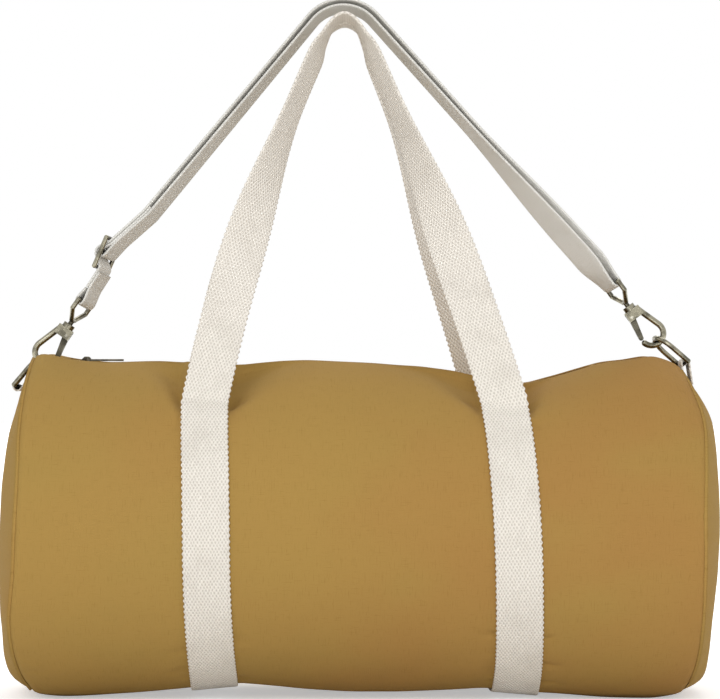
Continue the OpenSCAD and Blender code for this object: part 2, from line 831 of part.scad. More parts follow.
// Paths near the adjuster, in its own plane: p runs down its rails and q out from them
adjuster_down = side_down(-1, adjuster_angle);
adjuster_outward = outward(side_out(-1, adjuster_angle), eye_roll);
adjuster_across = across(side_out(-1, adjuster_angle), eye_roll);
function near_adjuster(p, q) = [
    adjuster_pos + p * adjuster_down + q * adjuster_outward, adjuster_across
];
function adjuster_arc(p, r, from, to, steps) = [
    for (i = [0 : steps])
        let (a = mix(from, to, i / steps))
        near_adjuster(p + r * cos(a), r * sin(a))
];
under_bar_r = adjuster_wire_r + gap + strap_t / 2;
fold_bar_r = adjuster_wire_r + loop_play + strap_t / 2;
over_bar_r = fold_bar_r + strap_t + gap;
cross_angle = asin((under_bar_r + over_bar_r) / adjuster_pitch);
strap_slope = angle_left - 90 - adjuster_angle;
tail_gap = strap_t / 2 + layer_gap / 2;
eye_from_adjuster = eye_left - adjuster_pos;
eye_p = eye_from_adjuster * adjuster_down;
eye_q = eye_from_adjuster * adjuster_outward;
tail_r = under_bar_r + tail_gap;
tail_angle = atan2(eye_q, eye_p - adjuster_pitch)
    + asin(tail_r / norm([eye_q, eye_p - adjuster_pitch]));
tail_start = 2.5;
tail_top = [
    adjuster_pitch + tail_r * sin(tail_angle) + tail_start * cos(tail_angle),
    -tail_r * cos(tail_angle) + tail_start * sin(tail_angle)
];
tail_run = norm([eye_p - tail_top.x, eye_q - tail_top.y]);
loop_open = 14;
tail_steps = 5;
function tail_layer(face, share) =
    let (
        top = near_adjuster(tail_top.x, tail_top.y),
        out = mix(adjuster_outward, outward(side_out(-1, hook_left_angle), eye_roll), share),
        open = smooth((share * tail_run - tail_run + loop_open) / loop_open),
        off = mix(tail_gap, eye_loop_r, open)
    )
    [
        mix(top[0], eye_left, share) + face * off * unit(out),
        unit(mix(adjuster_across, across(side_out(-1, hook_left_angle), eye_roll), share))
    ];
function tail_path() = concat(
    [for (i = [0 : tail_steps - 1]) tail_layer(1, i / tail_steps)],
    eye_wrap(-1, 0, 180, wrap_steps),
    [for (i = [tail_steps - 1 : -1 : 0]) tail_layer(-1, i / tail_steps)]
);
module strap_end_left() {
    color([0.8, 0.78, 0.74]) ribbon(tail_path(), strap_w, strap_t);
}
over_steps = 12;
blend_x = run_left - blend_len;
function over_path() = concat(
    [
        for (i = [0 : over_steps])
            strand(mid_left(mix(fixed_x, blend_x, i / over_steps)), over_off)
    ],
    adjuster_arc(-adjuster_pitch, under_bar_r, -90 + strap_slope, -90 + cross_angle, 2),
    adjuster_arc(0, over_bar_r, 90 + cross_angle, 90 - cross_angle, 6),
    adjuster_arc(adjuster_pitch, under_bar_r, -90 - cross_angle, -90 + tail_angle, 3),
    [tail_layer(1, 0)]
);
module strap_over_adjuster() {
    color([0.78, 0.76, 0.72]) ribbon(over_path(), strap_w, strap_t);
}
under_steps = 4;
fold_top_x = run_left - fold_len;
module strap_under_adjuster() {
    path = [
        for (i = [0 : under_steps])
            strand(mid_left(mix(fixed_x, fold_top_x, i / under_steps)), -strand_off)
    ];
    color([0.76, 0.74, 0.7]) ribbon(path, strap_w, strap_t);
}
function fold_path() = concat(
    [strand(mid_left(fold_top_x), -strand_off), strand(mid_left(blend_x), -strand_off)],
    [near_adjuster(-adjuster_pitch, -under_bar_r - 2 * strap_t - 2 * gap)],
    adjuster_arc(0, fold_bar_r, -90 + strap_slope, 90 + cross_angle, 10),
    adjuster_arc(
        -adjuster_pitch, under_bar_r + strap_t + gap, -90 + cross_angle, -90 + strap_slope, 2
    ),
    [strand(mid_left(blend_x), fold_off), strand(mid_left(fold_top_x), fold_off)]
);
module strap_fold() {
    color([0.8, 0.78, 0.74]) ribbon(fold_path(), strap_w, strap_t);
}
module strap_adjuster() {
    color([0.58, 0.53, 0.4])
        side_frame(adjuster_pos, -1, adjuster_angle)
            rotate([0, 0, eye_roll]) {
                for (k = [-1, 0, 1])
                    bar(
                        [0, -adjuster_half, k * adjuster_pitch],
                        [0, adjuster_half, k * adjuster_pitch],
                        adjuster_wire_r
                    );
                for (face = [-1, 1])
                    bar(
                        [0, face * adjuster_half, -adjuster_pitch],
                        [0, face * adjuster_half, adjuster_pitch],
                        adjuster_wire_r
                    );
            }
}

barrel_panel();
end_panel(-1);  // end_panel_left
end_panel(1);  // end_panel_right
seam_binding(-1);  // seam_binding_left
seam_binding(1);  // seam_binding_right
band(band_left_x, band_left_turn, band_left_lean);  // band_left
band(band_right_x, band_right_turn, band_right_lean);  // band_right
ring_tab(-1);  // ring_tab_left
ring_tab(1);  // ring_tab_right
zip_facing(-1);  // zip_facing_left
zip_facing(1);  // zip_facing_right
zip_chain_end(-1);  // zip_chain_left
zip_chain_end(1);  // zip_chain_right
zip_stops();
mouth_facing(-1);  // mouth_facing_front
zip_chain_edge(-1);  // zip_chain_front
mouth_facing(1);  // mouth_facing_back
zip_chain_edge(1);  // zip_chain_back
zip_slider();
zip_puller();
handle(-1);  // handle_front
handle(1);  // handle_back
d_ring(-1);  // d_ring_left
d_ring(1);  // d_ring_right
shoulder_strap();
strap_end_left();
strap_over_adjuster();
strap_under_adjuster();
hook_eye(-1);  // hook_eye_left
hook_eye(1);  // hook_eye_right
strap_adjuster();
strap_fold();
hook_body(-1);  // hook_body_left
hook_body(1);  // hook_body_right
gate_pin(-1);  // gate_pin_left
gate_pin(1);  // gate_pin_right
gate_spring(-1);  // gate_spring_left
gate_spring(1);  // gate_spring_right
hook_gate(-1);  // hook_gate_left
hook_gate(1);  // hook_gate_right
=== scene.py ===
"""Looks of the barrel bag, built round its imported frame. Lengths are in millimetres until a mesh is made."""
import math

import bpy
import numpy as np
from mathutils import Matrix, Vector


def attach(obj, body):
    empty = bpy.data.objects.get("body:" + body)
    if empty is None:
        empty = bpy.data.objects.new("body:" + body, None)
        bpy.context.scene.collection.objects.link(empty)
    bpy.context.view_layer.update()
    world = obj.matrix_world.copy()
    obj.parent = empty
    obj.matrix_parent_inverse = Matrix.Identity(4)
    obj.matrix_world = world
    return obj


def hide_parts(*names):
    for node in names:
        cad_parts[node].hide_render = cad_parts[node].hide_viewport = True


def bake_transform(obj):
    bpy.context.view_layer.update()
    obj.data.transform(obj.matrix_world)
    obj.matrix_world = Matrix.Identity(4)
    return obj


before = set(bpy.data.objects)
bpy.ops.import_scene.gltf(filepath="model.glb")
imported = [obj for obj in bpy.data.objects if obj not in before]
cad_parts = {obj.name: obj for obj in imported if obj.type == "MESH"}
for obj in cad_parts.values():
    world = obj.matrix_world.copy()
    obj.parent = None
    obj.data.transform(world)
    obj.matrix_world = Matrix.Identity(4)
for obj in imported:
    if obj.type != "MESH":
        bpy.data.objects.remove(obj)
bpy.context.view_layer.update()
scene = bpy.context.scene
MM = 0.001

# ---- camera: the photograph's frame, level, 2.5 m in front ----
CAM_Y, CAM_Z = -2500.0, 267.5
PX = 0.78125  # millimetres per pixel of the photograph in the plane y = 0
MID_PX, MID_PY = 360, 349.5  # the pixel on the camera's axis
camera = bpy.data.objects.new("camera", bpy.data.cameras.new("camera"))
camera.data.lens, camera.data.sensor_width = 160, 36
camera.data.clip_end = 50
camera.location = (0, CAM_Y * MM, CAM_Z * MM)
camera.rotation_euler = (math.pi / 2, 0, 0)
scene.collection.objects.link(camera)
scene.camera = camera


def seen(px, py, y):
    """Where a pixel of the photograph lies in the plane at depth y."""
    k = PX * (1 + y / -CAM_Y)
    return (px - MID_PX) * k, CAM_Z + (MID_PY - py) * k


# ---- small helpers ----
def smooth(t):
    """A soft step from 0 to 1."""
    t = np.clip(t, 0, 1)
    return t * t * (3 - 2 * t)


def unit(v):
    v = np.asarray(v, float)
    return v / np.maximum(np.linalg.norm(v, axis=-1, keepdims=True), 1e-12)


def mix(a, b, t):
    return a + (b - a) * t


def vec(*v):
    return np.array(v, float)


def at(deg):
    """Unit vector in the plane y = 0, at an angle above +x."""
    return vec(math.cos(math.radians(deg)), 0, math.sin(math.radians(deg)))


def linear(rgb):
    """A display colour of 0 to 255 as the linear colour that a shader takes."""
    return tuple((c / 255 / 12.92) if c / 255 < 0.04045 else ((c / 255 + 0.055) / 1.055) ** 2.4 for c in rgb) + (1.0,)


def table(points, sigma):
    """A smooth curve through measured points, as a function."""
    pts = np.array(sorted(points), float)
    xs = np.linspace(pts[0, 0] - 3 * sigma, pts[-1, 0] + 3 * sigma, 2000)
    ys = np.interp(xs, pts[:, 0], pts[:, 1])
    step = xs[1] - xs[0]
    n = int(3 * sigma / step) + 1
    kernel = np.exp(-0.5 * (np.arange(-n, n + 1) * step / sigma) ** 2)
    ys = np.convolve(np.pad(ys, n, mode="edge"), kernel / kernel.sum(), mode="valid")
    return lambda x: np.interp(x, xs, ys)


def make(name, verts, faces, uv=None, material=None, body=None, replaces=(), slot=None, shade=True):
    """A mesh piece from points in millimetres; uv is one pair in millimetres per face corner."""
    mesh = bpy.data.meshes.new(name)
    mesh.from_pydata((np.asarray(verts) * MM).tolist(), [], [list(f) for f in faces])
    if uv is not None:
        uv = (np.asarray(uv, float) * MM).astype(np.float32)
        mesh.uv_layers.new(name="UVMap").data.foreach_set("uv", uv.ravel())
    mesh.validate()
    mesh.update()
    if shade:
        mesh.polygons.foreach_set("use_smooth", [True] * len(mesh.polygons))
    mesh.materials.append(material)
    piece = bpy.data.objects.new(name, mesh)
    scene.collection.objects.link(piece)
    if body:
        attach(piece, body)
    if replaces:
        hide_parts(*replaces)
    return piece


def grid(points, uv, close_u=False, close_v=False, keep=None):
    """Vertices, quads and corner uvs of a grid; uv has one more row or column where the grid closes."""
    nu, nv = points.shape[:2]
    cu, cv = (nu if close_u else nu - 1), (nv if close_v else nv - 1)
    i, j = np.meshgrid(np.arange(cu), np.arange(cv), indexing="ij")
    if keep is not None:
        i, j = i[keep], j[keep]
    i, j = i.ravel(), j.ravel()
    i2, j2 = i + 1, j + 1
    corners = [(i, j), (i2, j), (i2, j2), (i, j2)]
    faces = np.stack([(a % nu) * nv + (b % nv) for a, b in corners], 1)
    uvs = np.stack([uv[a, b] for a, b in corners], 1).reshape(-1, 2)
    used = np.zeros(nu * nv, bool)
    used[faces] = True
    index = np.cumsum(used) - 1
    return points.reshape(-1, 3)[used], index[faces].tolist(), uvs


def join(parts):
    """Several (verts, faces, uvs) as one."""
    verts, faces, uvs, base = [], [], [], 0
    for v, f, u in parts:
        verts.append(np.asarray(v))
        faces += [[k + base for k in face] for face in f]
        uvs.append(np.asarray(u).reshape(-1, 2))
        base += len(v)
    return np.concatenate(verts), faces, np.concatenate(uvs)


def ribbon(centre, across, w, t, scallop, pitch, n_across=8):
    """A flat woven strap along a path, with rounded edges that bulge by scallop at each weft turn."""
    d = unit(np.gradient(centre, axis=0))
    across = unit(across - (across * d).sum(1, keepdims=True) * d)
    normal = np.cross(d, across)
    s = lengths(centre)
    r = t / 2 * 0.8
    flat = np.linspace(-(w / 2 - r), w / 2 - r, n_across)
    arc = np.radians(np.linspace(-90, 90, 7)[1:-1])
    right = [(w / 2 - r + r * math.cos(a), t / 2 * math.sin(a)) for a in arc]
    left = [(-x, -z) for x, z in right]
    loop = np.array([(x, -t / 2) for x in flat] + right + [(x, t / 2) for x in flat[::-1]] + left)
    x, z = loop[:, 0] * np.ones((len(s), 1)), loop[:, 1]
    edge = smooth((np.abs(x) - (w / 2 - 1.6)) / 1.6)
    x = x + np.sign(x) * edge * scallop * np.sin(2 * math.pi * s / pitch)[:, None]
    points = centre[:, None] + x[..., None] * across[:, None] + z[:, None] * normal[:, None]
    uv = np.stack(np.broadcast_arrays(s[:, None], np.append(loop[:, 0], loop[0, 0])), -1)
    verts, faces, uvs = grid(points, uv, close_v=True)
    n = len(loop)
    for face, end in ((list(range(n))[::-1], s[0]), ([(len(s) - 1) * n + k for k in range(n)], s[-1])):
        faces.append(face)
        uvs = np.concatenate([uvs, np.stack([np.full(n, end), loop[:, 0][np.array(face) % n]], 1)])
    # the faces are turned to look outwards, and their corners' uvs with them
    faces = [f[::-1] for f in faces]
    starts = np.cumsum([0] + [len(f) for f in faces])
    order = np.concatenate([np.arange(a, b)[::-1] for a, b in zip(starts[:-1], starts[1:])])
    return verts, faces, uvs[order]


def lengths(points):
    """The length along a path at each of its points."""
    return np.append(0, np.cumsum(np.linalg.norm(np.diff(points, axis=0), axis=1)))


def at_lengths(t, s, values):
    """The values at lengths t, from those at lengths s."""
    return np.stack([np.interp(t, s, values[:, k]) for k in range(3)], 1)


def resample(points, extra, step):
    """The same path at an even step, with its direction-across vectors."""
    points, extra = np.asarray(points, float), np.asarray(extra, float)
    s = lengths(points)
    t = np.linspace(0, s[-1], max(4, int(s[-1] / step)))
    return at_lengths(t, s, points), at_lengths(t, s, extra)


def soften(a, n):
    """Smooths a path along its length, with its ends held."""
    a = a.copy()
    for _ in range(n):
        a[1:-1] = (a[:-2] + 2 * a[1:-1] + a[2:]) / 4
    return a


# ---- materials ----
def shader(name):
    m = bpy.data.materials.new(name)
    m.use_nodes = True
    m.node_tree.nodes.clear()
    return m, m.node_tree


def node(tree, kind, inputs=None, **props):
    n = tree.nodes.new("ShaderNode" + kind)
    for k, v in props.items():
        setattr(n, k, v)
    for k, v in (inputs or {}).items():
        if isinstance(v, bpy.types.NodeSocket):
            tree.links.new(v, n.inputs[k])
        else:
            n.inputs[k].default_value = v
    return n


def calc(tree, op, *args):
    return node(tree, "Math", dict(enumerate(args)), operation=op).outputs[0]


def times(tree, a, b):
    return calc(tree, "MULTIPLY", a, b)


def blend_colours(tree, share, a, b):
    return node(tree, "Mix", {0: share, 6: a, 7: b}, data_type="RGBA", clamp_factor=True).outputs[2]


def stain(tree, colour, share, strength, rgb):
    """The colour, taken towards another by a share times a strength."""
    return blend_colours(tree, times(tree, share, strength), colour, linear(rgb))


def uv_mm(tree):
    """Along and across the cloth, in millimetres."""
    uv = node(tree, "UVMap", uv_map="UVMap").outputs[0]
    mm = node(tree, "VectorMath", {0: uv, 1: (1000, 1000, 1000)}, operation="MULTIPLY").outputs[0]
    xyz = node(tree, "SeparateXYZ", {0: mm})
    return mm, xyz.outputs[0], xyz.outputs[1]


def noise(tree, vector, scale, detail=2.0, rough=0.5, stretch=None):
    if stretch:
        vector = node(tree, "VectorMath", {0: vector, 1: stretch}, operation="MULTIPLY").outputs[0]
    return node(tree, "TexNoise", {"Vector": vector, "Scale": scale, "Detail": detail, "Roughness": rough}).outputs[0]


def ramp(tree, value, low, high):
    return node(tree, "MapRange", {0: value, 1: low, 2: high}, interpolation_type="SMOOTHSTEP").outputs[0]


def wave(tree, value, pitch):
    return calc(tree, "SINE", times(tree, value, 2 * math.pi / pitch))


def crevice(tree, low, high):
    """A share that goes by how open a place is within 5 mm."""
    return ramp(tree, node(tree, "AmbientOcclusion", {"Distance": 0.005}, samples=4).outputs["AO"], low, high)


def finish_cloth(m, tree, colour, height, depth, rough):
    bump = node(tree, "Bump", {"Height": height, "Distance": depth * MM, "Strength": 1.0}).outputs[0]
    p = node(tree, "BsdfPrincipled", {"Base Color": colour, "Normal": bump, "Roughness": rough,
                                      "Specular IOR Level": 0.18})
    node(tree, "OutputMaterial", {0: p.outputs[0]})
    return m


def canvas_material(name, main, warm, olive, dark):
    """Plain-woven cotton canvas: broad shifts of colour, slubs both ways and painted shade in the crevices."""
    m, tree = shader(name)
    mm, u, v = uv_mm(tree)
    broad = noise(tree, mm, 0.0055, 2, 0.4)
    broad2 = noise(tree, mm, 0.009, 2, 0.45, (1, 1.5, 1))
    slub_v = noise(tree, mm, 1.0, 2, 0.6, (1.5, 0.09, 1))
    slub_u = noise(tree, mm, 1.0, 2, 0.6, (0.1, 1.4, 1))
    fleck = noise(tree, mm, 0.55, 3, 0.65)
    threads = times(tree, wave(tree, u, 1.1), wave(tree, v, 1.1))
    warmth = ramp(tree, calc(tree, "MULTIPLY_ADD", u, 0.0011, broad), 0.35, 0.75)
    colour = blend_colours(tree, warmth, linear(main), linear(warm))
    colour = stain(tree, colour, ramp(tree, broad2, 0.4, 0.8), 0.6, olive)
    tint = calc(tree, "ADD", times(tree, ramp(tree, slub_v, 0.54, 0.78), 0.36),
                times(tree, ramp(tree, slub_u, 0.56, 0.78), 0.34))
    tint = calc(tree, "ADD", tint, times(tree, ramp(tree, fleck, 0.6, 0.78), 0.12))
    colour = blend_colours(tree, tint, colour, linear(dark))
    colour = stain(tree, colour, ramp(tree, threads, -0.2, -1.0), 0.16, dark)
    # painted shade: the canvas goes dark brown where it is hemmed in within 5 mm, by the bands' edges and in the seams
    colour = stain(tree, colour, crevice(tree, 0.75, 0.25), 0.6, (74, 54, 22))
    height = calc(tree, "ADD", times(tree, threads, 0.4),
                  calc(tree, "ADD", times(tree, slub_v, 0.9), times(tree, slub_u, 0.9)))
    return finish_cloth(m, tree, colour, height, 0.2, 0.88)


def webbing_material(name, light, shaded, pitch, pitch_across, contrast, depth):
    """Coarse woven webbing: a pattern of raised dots, a little uneven, and fuzz."""
    m, tree = shader(name)
    mm, u, v = uv_mm(tree)
    wobble = times(tree, noise(tree, mm, 0.16, 3), 2.4)
    u2 = calc(tree, "ADD", u, times(tree, wobble, 0.5))
    v2 = calc(tree, "ADD", v, wobble)
    dots = times(tree, wave(tree, u2, pitch), wave(tree, v2, pitch_across))
    fuzz = noise(tree, mm, 1.6, 3, 0.7)
    broad = noise(tree, mm, 0.03, 3)
    level = calc(tree, "ADD", times(tree, dots, 0.6), calc(tree, "MULTIPLY_ADD", fuzz, 0.8, -0.4))
    colour = stain(tree, linear(light), ramp(tree, level, 0.12, -0.5), contrast, shaded)
    colour = stain(tree, colour, ramp(tree, broad, 0.45, 0.7), 0.14, shaded)
    height = calc(tree, "ADD", times(tree, dots, 0.6), times(tree, fuzz, 0.5))
    return finish_cloth(m, tree, colour, height, depth, 0.92)


def metal_material(name, bright, dark, rough):
    """Aged metal: bright where it is worn, dark in patches, and dark in crevices, partly as patina and partly as
    painted shade.
    """
    m, tree = shader(name)
    where = node(tree, "TexCoord").outputs["Object"]
    patina = noise(tree, where, 150, 3, 0.55)
    fine = noise(tree, where, 1400, 2, 0.5)
    worn = calc(tree, "MULTIPLY_ADD", ramp(tree, patina, 0.34, 0.6), 0.6, 0.4)
    # dark in crevices: partly patina in the hollows, partly painted shade that stands in for dark reflections
    colour = stain(tree, linear(dark), crevice(tree, 0.35, 0.95), worn, bright)
    colour = stain(tree, colour, ramp(tree, fine, 0.6, 0.75), 0.12, dark)
    roughness = calc(tree, "MULTIPLY_ADD", patina, -0.16, rough + 0.08)
    bump = node(tree, "Bump", {"Height": fine, "Distance": 0.00001, "Strength": 0.5}).outputs[0]
    p = node(tree, "BsdfPrincipled", {"Base Color": colour, "Roughness": roughness, "Normal": bump, "Metallic": 1.0})
    node(tree, "OutputMaterial", {0: p.outputs[0]})
    return m


CANVAS = canvas_material("canvas", (165, 132, 70), (163, 124, 67), (162, 133, 70), (129, 98, 44))
# a darker copy of the canvas: painted shade for the grooves of the two end seams
SEAM_SHADE = canvas_material("canvas_seam", (92, 69, 31), (90, 66, 31), (88, 69, 31), (70, 52, 22))
WEBBING = webbing_material("handle_webbing", (233, 227, 217), (170, 161, 148), 4.5, 2.6, 0.55, 0.5)
STRAP = webbing_material("strap_webbing", (221, 219, 213), (168, 165, 157), 2.6, 1.7, 0.45, 0.2)
TAPE = webbing_material("zip_tape", (166, 134, 76), (128, 100, 52), 0.8, 0.8, 0.5, 0.1)
BINDING = webbing_material("seam_binding", (158, 128, 74), (120, 94, 50), 1.2, 1.2, 0.5, 0.15)
THREAD_OCHRE = webbing_material("thread_ochre", (164, 128, 64), (126, 96, 44), 0.5, 0.5, 0.4, 0.08)
BRASS = metal_material("antique_brass", (156, 151, 132), (34, 31, 25), 0.26)
PIN = metal_material("pin_metal", (206, 202, 186), (70, 66, 54), 0.24)
GATE = metal_material("gate_metal", (104, 100, 87), (30, 28, 23), 0.3)
BRASS_ZIP = metal_material("zip_metal", (122, 117, 103), (34, 31, 26), 0.3)
TEETH = metal_material("zip_teeth", (150, 132, 90), (112, 94, 56), 0.42)
STEEL = metal_material("spring_steel", (190, 190, 186), (120, 120, 118), 0.25)

# ---- the canvas barrel ----
R, AXIS_Z, TOP_Z, FLOOR_Z = 131.5, 128.5, 256.3, 2.2
SEAM_X = 254.0  # half the barrel's nominal length, seam to seam
MOUTH_X, MOUTH_Y = 232.0, 31.0
WEB_W, WEB_T, CANVAS_T = 35.0, 2.2, 1.5
# The outline of the canvas in the front view, measured in pixels of the photograph: (along, down)
TOP_EDGE = [
    (26, 368), (31, 360), (36, 355.5), (44, 354.5), (52, 356), (62, 359), (76, 361.5), (90, 363), (104, 364.5),
    (124, 364), (148, 362.8), (160, 362.4), (184, 363), (214, 364), (244, 364), (256, 362.5), (280, 361), (304, 361.3),
    (328, 362.8), (352, 364.2), (376, 365.2), (400, 367), (424, 367.8), (448, 370.6), (460, 372.6), (472, 376),
    (500, 381), (520, 385.5), (532, 385), (544, 382), (556, 379.3), (568, 375.6), (580, 371.8), (592, 368),
    (604, 364.3), (616, 362.6), (628, 361.6), (640, 359), (652, 356.8), (664, 361), (676, 366), (688, 379)]
LOW_EDGE = [
    (20, 683.4), (28, 688.9), (40, 693.4), (64, 695.5), (88, 694.5), (124, 691.9), (148, 689.9), (184, 686.4),
    (208, 684.4), (232, 681.4), (244, 681.2), (256, 682.4), (280, 684.6), (304, 687.2), (328, 689), (352, 690.2),
    (400, 690.2), (448, 688.2), (472, 686.7), (484, 685.7), (508, 689), (532, 690.5), (556, 692), (580, 694),
    (604, 696), (628, 697), (652, 697), (664, 694.9), (676, 692.9), (688, 689.4), (700, 682.4)]
# The skin shows the top edge at y = -25 and the low edge at y = -30
top_edge = table([seen(px, py, -25) for px, py in TOP_EDGE], 4)
low_edge = table([seen(px, py, -30) for px, py in LOW_EDGE], 6)
# How far out the end seams and the end panels reach, by side, in millimetres: (height, x)
SEAM = {-1: table([
    (262, -249), (250, -251.5), (230, -253), (211, -253.8), (165, -253.3), (100, -256), (63, -260.9), (40, -260),
    (17, -256), (3, -248)], 7), 1: table([
    (262, 241), (252, 245.5), (240, 250.5), (228, 254.5), (211, 257.5), (150, 254.5), (63, 254.6), (40, 254),
    (12, 250), (2, 244)], 7)}
END = {-1: table([
    (254, -255), (251, -256.5), (236, -260), (220, -265.2), (205, -271), (189, -274), (165, -277), (126, -278.8),
    (95, -279), (64, -278.3), (48, -276.6), (33, -276), (25, -274.6), (17, -272.5), (9, -266),
    (1.5, -256)], 4), 1: table([
    (256, 244), (252, 248), (244, 253.5), (236, 258.5), (228, 263.5), (220, 268.4), (212, 272), (204, 273.6),
    (189, 275.8), (165, 277.3), (142, 278.2), (126, 278.2), (95, 276.5), (64, 273.4), (48, 271.8), (33, 270.3),
    (25, 269.4), (17, 268.6), (9, 265.5), (1.5, 250)], 4)}
# How far each band strays from its straight line: (height, shift)
BAND_DRIFT = {-1: table([
    (0, 0), (14, -0.3), (26, -1.1), (39, -1.9), (62, -2.8), (84, -3.1), (107, -3.0), (130, -2.3), (152, -1.9),
    (174, -1.3), (197, -1.0), (208, -0.7), (219, 0), (240, 0)], 5), 1: table([
    (0, -1.7), (14, -1.6), (26, -0.9), (39, -0.7), (62, -0.4), (84, -0.1), (107, 0.4), (130, 0.7), (152, 1.0),
    (197, 1.0), (212, 0.8), (222, 0.2), (232, 0)], 5)}


def band_x(side, y, z):
    """Middle of a sewn band, at a place on the barrel, by its foot, its turn and lean in degrees and its drift."""
    foot, turn, lean = (-113.5, 2.83, -2.03) if side < 0 else (119, 2.18, -3.42)
    return foot - y * math.tan(math.radians(turn)) + z * math.tan(math.radians(lean)) + BAND_DRIFT[side](z)


def value_noise(x, s, scale, seed):
    """Smooth noise over the cloth, between -1 and 1."""
    gen = np.random.default_rng(seed)
    total = 0
    for _ in range(6):
        a, f, p = gen.uniform(0, 2 * math.pi), gen.uniform(0.6, 1.5) * 2 * math.pi / scale, gen.uniform(0, 6.28)
        total = total + np.sin((x * math.cos(a) + s * math.sin(a)) * f + p)
    return total / 6


# Dimples beside the bands near their roots: band, side of it, depth, reach low down and high up, angles
DIMPLES = [(-1, -1, 8.0, 4, 28, 40, 72), (-1, 1, 13.0, 6, 62, 40, 76), (1, -1, 10.5, 5, 62, 42, 76),
           (1, 1, 8.0, 5, 26, 42, 76)]


def section(angle):
    """The barrel's plain section at an angle above the front: (y, z)."""
    a = np.radians(angle)
    return -R * np.cos(a), AXIS_Z + R * np.sin(a)


def puckers():
    """Small creases: place along the barrel, angle, length, depth, width, slant."""
    out, rng = [], np.random.default_rng(7)

    def add(x, angle, way, length, depth, width, slant, lean=1):
        out.append((x, angle, way * rng.uniform(*length), rng.uniform(*depth), rng.uniform(*width),
                    lean * rng.uniform(*slant)))

    def band_edge(side, edge, angle):
        return band_x(side, *section(angle)) + edge * (WEB_W / 2)

    for side in (-1, 1):
        for edge in (-1, 1):
            for _ in range(18):
                a = rng.uniform(-84, -34)
                add(band_edge(side, edge, a), a, edge, (8, 26), (0.3, 1.3), (1.5, 3.0), (-0.2, 0.2))
            for _ in range(7):
                a = rng.uniform(38, 70)
                add(band_edge(side, edge, a), a, edge, (12, 30), (0.3, 0.8), (3, 5), (0.2, 0.8), edge)
    for side in (-1, 1):
        for _ in range(70):
            a = rng.uniform(-180, 180)
            add(side * SEAM_X, a, -side, (8, 30), (0.2, 0.7), (2.5, 5), (-0.3, 0.3))
    return out


PUCKERS = puckers()


def canvas(x, angle, y=None, inset=0.0):
    """Points on the canvas. x runs along, angle above the front (90 is the top).

    y sets places on the flat top strip, and inset draws the points in.
    """
    x, angle = np.broadcast_arrays(np.asarray(x, float), np.asarray(angle, float))
    sy, sz = section(angle)
    if y is not None:
        flat = ~np.isnan(y)
        sy, sz = np.where(flat, y, sy), np.where(flat, TOP_Z, sz)
    up = np.clip((sz - AXIS_Z) / R, 0, 1)
    down = np.clip((AXIS_Z - sz) / R, 0, 1)
    d_top = top_edge(x) - TOP_Z
    # a shallow dip at the left end, where the hook's gate passes as the strap swings
    dip = smooth((sy + 8) / 8) * (1 - smooth((sy - 18) / 10)) * smooth((-216 - x) / 18) * smooth((x + 252) / 9)
    d_top = d_top - (np.clip(d_top, 0, None) + 1.4) * dip
    d_low = low_edge(x) - FLOOR_Z
    oy, oz = np.moveaxis(unit(np.stack([sy, sz - AXIS_Z], -1)), -1, 0)
    # the height up either face, as an angle
    high = np.where(angle > 90, 180 - angle, np.where(angle < -90, -180 - angle, angle))
    high = np.where(sz >= TOP_Z - 0.01, 88, high)
    push = np.zeros_like(x)
    for side, edge, depth, low_reach, high_reach, a0, a1 in DIMPLES:
        where = (x - band_x(side, -np.abs(sy), sz)) * edge - WEB_W / 2
        t = np.clip((high - a0) / (a1 - a0), 0, 1)
        reach = mix(low_reach, high_reach, t ** 1.3)
        fall = np.exp(-np.clip(where, 0, None) ** 2 / (2 * (reach * 0.55) ** 2)) * smooth((where + 7) / 7)
        push -= depth * fall * smooth((high - a0) / 13) * (1 - 0.8 * smooth((high - a1 + 8) / 14))
    for side in (-1, 1):
        where = np.abs(x - band_x(side, -np.abs(sy), sz))
        push += 1.6 * np.exp(-(where / 26) ** 2) * smooth((high - 30) / 14) * (1 - smooth((high - 56) / 14))
    arc = np.radians(angle) * R
    push += 0.9 * value_noise(x, arc, 150, 3) + 0.35 * value_noise(x, arc, 52, 5)
    sag = 1.3 * np.sin((x + SEAM_X) / (2 * SEAM_X) * math.pi * 2.2) * np.cos(np.radians(angle))
    push += 0.35 * sag
    for px, pa, length, depth, width, slant in PUCKERS:
        dx = (x - px) * np.sign(length)
        da = (angle - pa + 180) % 360 - 180
        ds = np.radians(da) * R - slant * dx
        push -= depth * np.exp(-(ds / width) ** 2) * smooth(dx / 2.5 + 0.3) * smooth(1 - dx / abs(length)) * (dx > -2)
    push = push * np.where(sz >= TOP_Z - 0.01, 0.3, 1) - inset
    py = sy + oy * push
    pz = sz + oz * push + d_top * up ** 3
    low = low_edge(x) + np.maximum(inset, 0)
    pz = pz + np.where(down > 0, d_low * down ** 3, 0)
    if y is not None:
        # past both ends of the mouth the middle of the top strip stays down by the zip
        pz = pz - np.clip(pz - TOP_Z, 0, None) * smooth((MOUTH_Y - np.abs(sy)) / 16) * flat
    # the underside flattens out towards the low edge, within its last 4 mm
    gap = pz - low
    settled = 4 * np.exp(np.minimum((gap - 4) / 4, 0)) - 4 * np.exp(-1.9) * np.clip((4 - gap) / 9, 0, 1)
    pz = low + np.where(gap > 4, gap, settled)
    return np.stack([x, py, pz], -1)


# Columns round the section: from the mouth down the front, under, up the back, then across the top strip
A0 = 90 - math.degrees(math.asin(MOUTH_Y / R))
round_angles = np.linspace(A0, A0 - 360 + 2 * (90 - A0), 281)
strip_y = np.linspace(MOUTH_Y, -MOUTH_Y, 15)[1:-1]
ANGLES = np.append(round_angles, np.full(len(strip_y), 90.0))
STRIP = np.append(np.full(len(round_angles), np.nan), strip_y)
arc_len = np.radians(A0 - round_angles) * R
arc_len = np.append(arc_len, arc_len[-1] + (MOUTH_Y - strip_y))
ARC = np.append(arc_len, arc_len[-1] + strip_y[-1] + MOUTH_Y)
